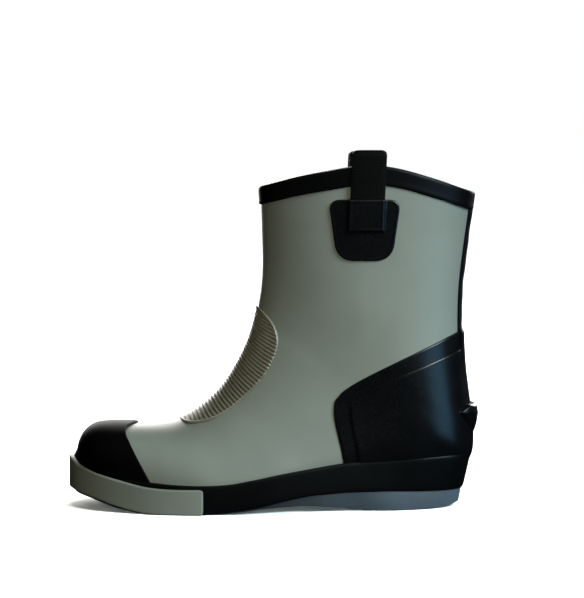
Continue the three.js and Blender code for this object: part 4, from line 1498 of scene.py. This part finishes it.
@dataclass
class PullLoop:
    """One side's pull loop: a length of webbing over the rim and the rubber patch that holds it."""

    side: Side
    centre: float = 67.2
    lean: float = 0.045
    lean_from: float = 217.0
    rim_height: float = 251.8
    crown: float = 12.4
    strap_foot: float = 205.9
    bend: float = 3.9
    patch_centre: tuple = (65.7, 206.1)
    patch_corners: tuple = ((-26.3, 22.2), (26.3, 22.2), (20.0, -22.4), (-20.0, -22.4))
    patch_radii: tuple = (9.0, 9.0, 13.0, 13.0)
    box_half: float = 13.1
    box_base: float = 204.9
    box_middle: float = 66.9

    @property
    def label(self) -> str:
        """The side's name in lower case."""
        return self.side.name.lower()

    def wall(self, x: np.ndarray, z: np.ndarray, offset: np.ndarray) -> np.ndarray:
        """Points over the wall by X and height; above the rim they stand straight up from it.

        Args:
            x: along the boot.
            z: heights.
            offset: millimetres outwards.

        Returns:
            The points.
        """
        stop = np.minimum(z, self.rim_height)
        allowed = lambda g: (g[..., 1] * self.side.value > 0) & (g[..., 2] > 150)
        share, turn = LAST.seek(np.stack([x, stop], -1), (0, 2), allowed)
        points = LAST.at(share, turn, offset)
        points[..., 2] += z - stop
        return points

    def strap(self) -> bpy.types.Object:
        """Makes the webbing: up the outside, over the rim in a loop and down the inside."""
        piece, lay = Bench.slab(f"pull_strap_{self.label}", 20, 240)
        outer, inner = LAID + FIT_GAP + 0.6, -WALL - LAID - FIT_GAP - 0.6
        top = self.rim_height + self.crown - 0.6
        arc = np.linspace(0, np.pi / 2, 12)
        path = [(outer, self.strap_foot), (outer, self.rim_height)]
        path += [(outer - self.bend * (1 - math.cos(a)), top - self.bend * (1 - math.sin(a))) for a in arc]
        path += [(inner + self.bend * (1 - math.sin(a)), top - self.bend * (1 - math.cos(a))) for a in arc]
        path += [(inner, self.rim_height), (inner, self.strap_foot)]
        path = np.asarray(path)
        step = distances(path)
        along = lay[:, 1] * step[-1]

        def read(distance: np.ndarray) -> np.ndarray:
            """The path's offset and height at distances along it."""
            return np.stack([np.interp(distance, step, path[:, i]) for i in (0, 1)])

        offset, z = read(along)
        ahead = read(along + 0.3) - read(along - 0.3)
        ahead /= np.linalg.norm(ahead, axis=0)
        across = lay[:, 0] * 2 - 1
        half = 0.6 * (1 - 0.3 * np.abs(across) ** 10) * np.where(lay[:, 2] > 0.5, 1, -1)
        offset, z = offset + ahead[1] * half, z - ahead[0] * half
        z = z - 1.5 * ease(self.rim_height + 4, top, z) * np.abs(across) ** 9
        x = self.centre + self.lean * (z - self.lean_from) + across * STRAP_WIDTH / 2
        points = self.wall(x, z, offset)
        Bench.chart(piece, (across + 1) * STRAP_WIDTH / 2, along)
        Bench.settle(piece, points, Finish.WEB, crease=60)
        nodes = [f"{kind}_{self.label}" for kind in ("strap_outer_leg", "strap_inner_leg", "pull_loop")]
        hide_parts(*nodes)
        spot = self.wall(np.array([self.centre]), np.array([self.rim_height]), np.array([-2.5]))[0]
        start = to_row(spot)
        end = start + np.array([0, 0, 3.5]) * MM
        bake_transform(piece)
        LOG.info("%s bends between boot and loop_%s", piece.name, self.label)
        return piece

    def patch(self) -> bpy.types.Object:
        """Makes the shield-shaped patch, raised in a square over the strap's end."""
        around, rings, under = 220, 96, 12
        piece, angle, ring = Bench.lens(f"pull_patch_shield_{self.label}", around, rings)
        cx, cz = self.patch_centre
        theta = np.linspace(0, 2 * np.pi, 721)[:-1]
        edge = self.rounded(np.array(self.patch_corners), np.array(self.patch_radii))
        turn = np.arctan2(edge[:, 1], edge[:, 0])
        order = np.argsort(turn)
        reach = np.interp(theta, turn[order], np.hypot(*edge[order].T), period=2 * np.pi)
        span = np.interp(angle * 2 * np.pi, theta, reach, period=2 * np.pi)
        last_top = rings - under
        face = ring <= last_top
        r = np.where(face, ring / last_top, (rings - ring) / under)
        r = np.where(face, 1 - (1 - r) ** 1.25, r)
        dx, dz = np.cos(angle * 2 * np.pi) * span * r, np.sin(angle * 2 * np.pi) * span * r
        x, z = cx + dx, cz + dz
        rim = (1 - r) * span
        bead = 0.25 * np.exp(-(((rim - 1.4) / 0.7) ** 2))
        side = self.box_half - np.abs(x - self.box_middle - self.lean * (z - self.lean_from))
        plateau = ease(-0.9, 0.9, side) * ease(self.box_base - 0.9, self.box_base + 0.9, z)
        ridge = np.exp(-(((side - 1.6) / 0.75) ** 2)) * ease(self.box_base, self.box_base + 1.5, z)
        sill = np.exp(-(((z - self.box_base - 1.6) / 0.75) ** 2)) * ease(-0.4, 1.2, side)
        height = FIT_GAP + OVERLAY * (0.2 + 0.8 * dome(rim, 1.0)) + bead
        height = height + plateau * 1.75 * dome(rim, 0.6) + 0.35 * np.maximum(ridge, sill)
        points = self.wall(x, z, np.where(face, height, 0.05))
        Bench.settle(piece, points, Finish.BLACK, crease=60)
        return hand_over(piece, "boot", f"pull_patch_{self.label}")

    @staticmethod
    def rounded(corners: np.ndarray, radii: np.ndarray) -> np.ndarray:
        """A closed outline with rounded corners, as dense points.

        Args:
            corners: the corners, in order.
            radii: how far each corner is cut back.

        Returns:
            Points at even spacing round the outline.
        """
        points = []
        for i, (corner, radius) in enumerate(zip(corners, radii)):
            before, after = corners[i - 1], corners[(i + 1) % len(corners)]
            a = corner + (before - corner) / np.linalg.norm(before - corner) * radius
            b = corner + (after - corner) / np.linalg.norm(after - corner) * radius
            for t in np.linspace(0, 1, 30):
                points.append((1 - t) ** 2 * a + 2 * t * (1 - t) * corner + t * t * b)
        ring = np.array(points)
        ring = np.vstack([ring, ring[:1]])
        step = distances(ring)
        even = np.linspace(0, step[-1], 1441)[:-1]
        return np.stack([np.interp(even, step, ring[:, i]) for i in (0, 1)], -1)

    def build(self) -> None:
        """Makes the strap and its patch."""
        self.strap()
        self.patch()


@dataclass
class HiddenParts:
    """The CAD nodes that stay as they are: stiffeners, board and fillers."""

    finishes: dict = field(default_factory=lambda: {
        "toe_puff": Finish.BOARD, "counter_stiffener": Finish.BOARD, "insole_board": Finish.BOARD,
        "midsole_filler": Finish.FOAM, "heel_wedge": Finish.FOAM,
    })

    def build(self) -> None:
        """Gives each node its finish."""
        for name, finish in self.finishes.items():
            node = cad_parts[name]
            node.data.materials.clear()
            node.data.materials.append(finish.material)
            LOG.info("%s keeps its CAD shape", name)


# ------------------------------------------------------------------ studio


@dataclass
class Studio:
    """Camera, pale floor and soft light."""

    camera_place: tuple = (0.0, -1700.0, 250.0)
    pitch_down: float = 3.24
    yaw_right: float = 0.45
    lens: float = 137.56
    sensor: float = 36.0
    wash: float = 5.6

    def camera(self) -> None:
        """Makes the camera."""
        data = bpy.data.cameras.new("camera")
        data.lens, data.sensor_width, data.clip_end = self.lens, self.sensor, 200
        camera = bpy.data.objects.new("camera", data)
        camera.location = to_row(np.array(self.camera_place))
        camera.rotation_euler = (math.radians(90 - self.pitch_down), 0, math.radians(-self.yaw_right))
        bpy.context.scene.collection.objects.link(camera)
        bpy.context.scene.camera = camera

    def softbox(self, name: str, place: tuple, size: tuple, power: float, colour: tuple) -> bpy.types.Object:
        """Adds an area light aimed at the boot's middle.

        Args:
            name: the light's name.
            place: where it hangs.
            size: its width and height.
            power: watts.
            colour: its tint.

        Returns:
            The light.
        """
        data = bpy.data.lights.new(name, "AREA")
        data.shape, data.size, data.size_y = "RECTANGLE", *size
        data.energy, data.color = power, colour
        light = bpy.data.objects.new(name, data)
        light.location = place
        aim = Vector((0, 0, 0.12)) - Vector(place)
        light.rotation_euler = aim.to_track_quat("-Z", "Y").to_euler()
        bpy.context.scene.collection.objects.link(light)
        return light

    def floor(self) -> None:
        """Makes the floor and the light that falls on it alone."""
        Bench.clear()
        bpy.ops.mesh.primitive_plane_add(size=80)
        floor = bpy.context.object
        floor.name = "floor"
        floor.visible_diffuse = floor.visible_glossy = False
        shade = Shade("floor")
        shade.feed(Base_Color=(0.8, 0.8, 0.8, 1), Roughness=0.9, Specular_IOR_Level=0.0,
                   Emission_Color=(0.75, 0.95, 1, 1), Emission_Strength=0.06)
        floor.data.materials.append(shade.material)
        data = bpy.data.lights.new("floor_wash", "SUN")
        data.energy, data.angle = self.wash, math.radians(48)
        wash = bpy.data.objects.new("floor_wash", data)
        wash.rotation_euler = Vector((-0.22, -0.2, -1)).to_track_quat("-Z", "Y").to_euler()
        bpy.context.scene.collection.objects.link(wash)
        only = bpy.data.collections.new("floor_only")
        only.objects.link(floor)
        wash.light_linking.receiver_collection = only

    def world(self) -> None:
        """Makes the surroundings: a white backdrop that lights nothing."""
        world = bpy.data.worlds.new("studio")
        world.use_nodes = True
        world.node_tree.nodes["Background"].inputs["Color"].default_value = (1, 1, 1, 1)
        bpy.context.scene.world = world
        world.cycles_visibility.diffuse = world.cycles_visibility.glossy = False

    def build(self) -> None:
        """Sets up the view, the lights and the floor."""
        self.camera()
        self.floor()
        self.world()
        self.softbox("window_right", (1.56, -1.09, 1.22), (1.0, 1.0), 76, (0.74, 0.91, 1.0))
        self.softbox("overhead_front", (0.55, -0.95, 2.02), (1.2, 1.2), 13, (1.0, 0.9, 0.6))
        self.softbox("low_right", (1.94, -1.03, 0.12), (1.0, 1.0), 8, (0.24, 0.63, 1.0))
        self.softbox("left", (-1.65, -0.95, 1.22), (1.0, 1.0), 3, (1.0, 0.8, 0.45))
        bounce = self.softbox("bounce", (0.05, -0.7, 0.03), (0.6, 0.12), 3.2, (1.0, 0.98, 0.88))
        bounce.visible_glossy = False
        self.softbox("behind_left", (-0.45, 2.25, 0.8), (1.2, 1.2), 46, (1.0, 0.98, 0.93))
        self.softbox("behind_right", (1.2, 2.0, 0.9), (1.2, 1.2), 42, (0.9, 0.96, 1.0))
        view = bpy.context.scene.view_settings
        view.view_transform, view.look, view.exposure, view.gamma = "Standard", "None", 0, 1


# ------------------------------------------------------------------ assembly


def main() -> None:
    """Builds the studio and each sub-assembly in turn."""
    logging.basicConfig(level=logging.INFO, format="%(name)s: %(message)s")
    Studio().build()
    Wall().build()
    Footbed().build()
    SoleUnit().build()
    LaidRubber().build()
    Collar().build()
    for side in Side:
        PullLoop(side).build()
    HiddenParts().build()


if __name__ == "__main__":
    main()
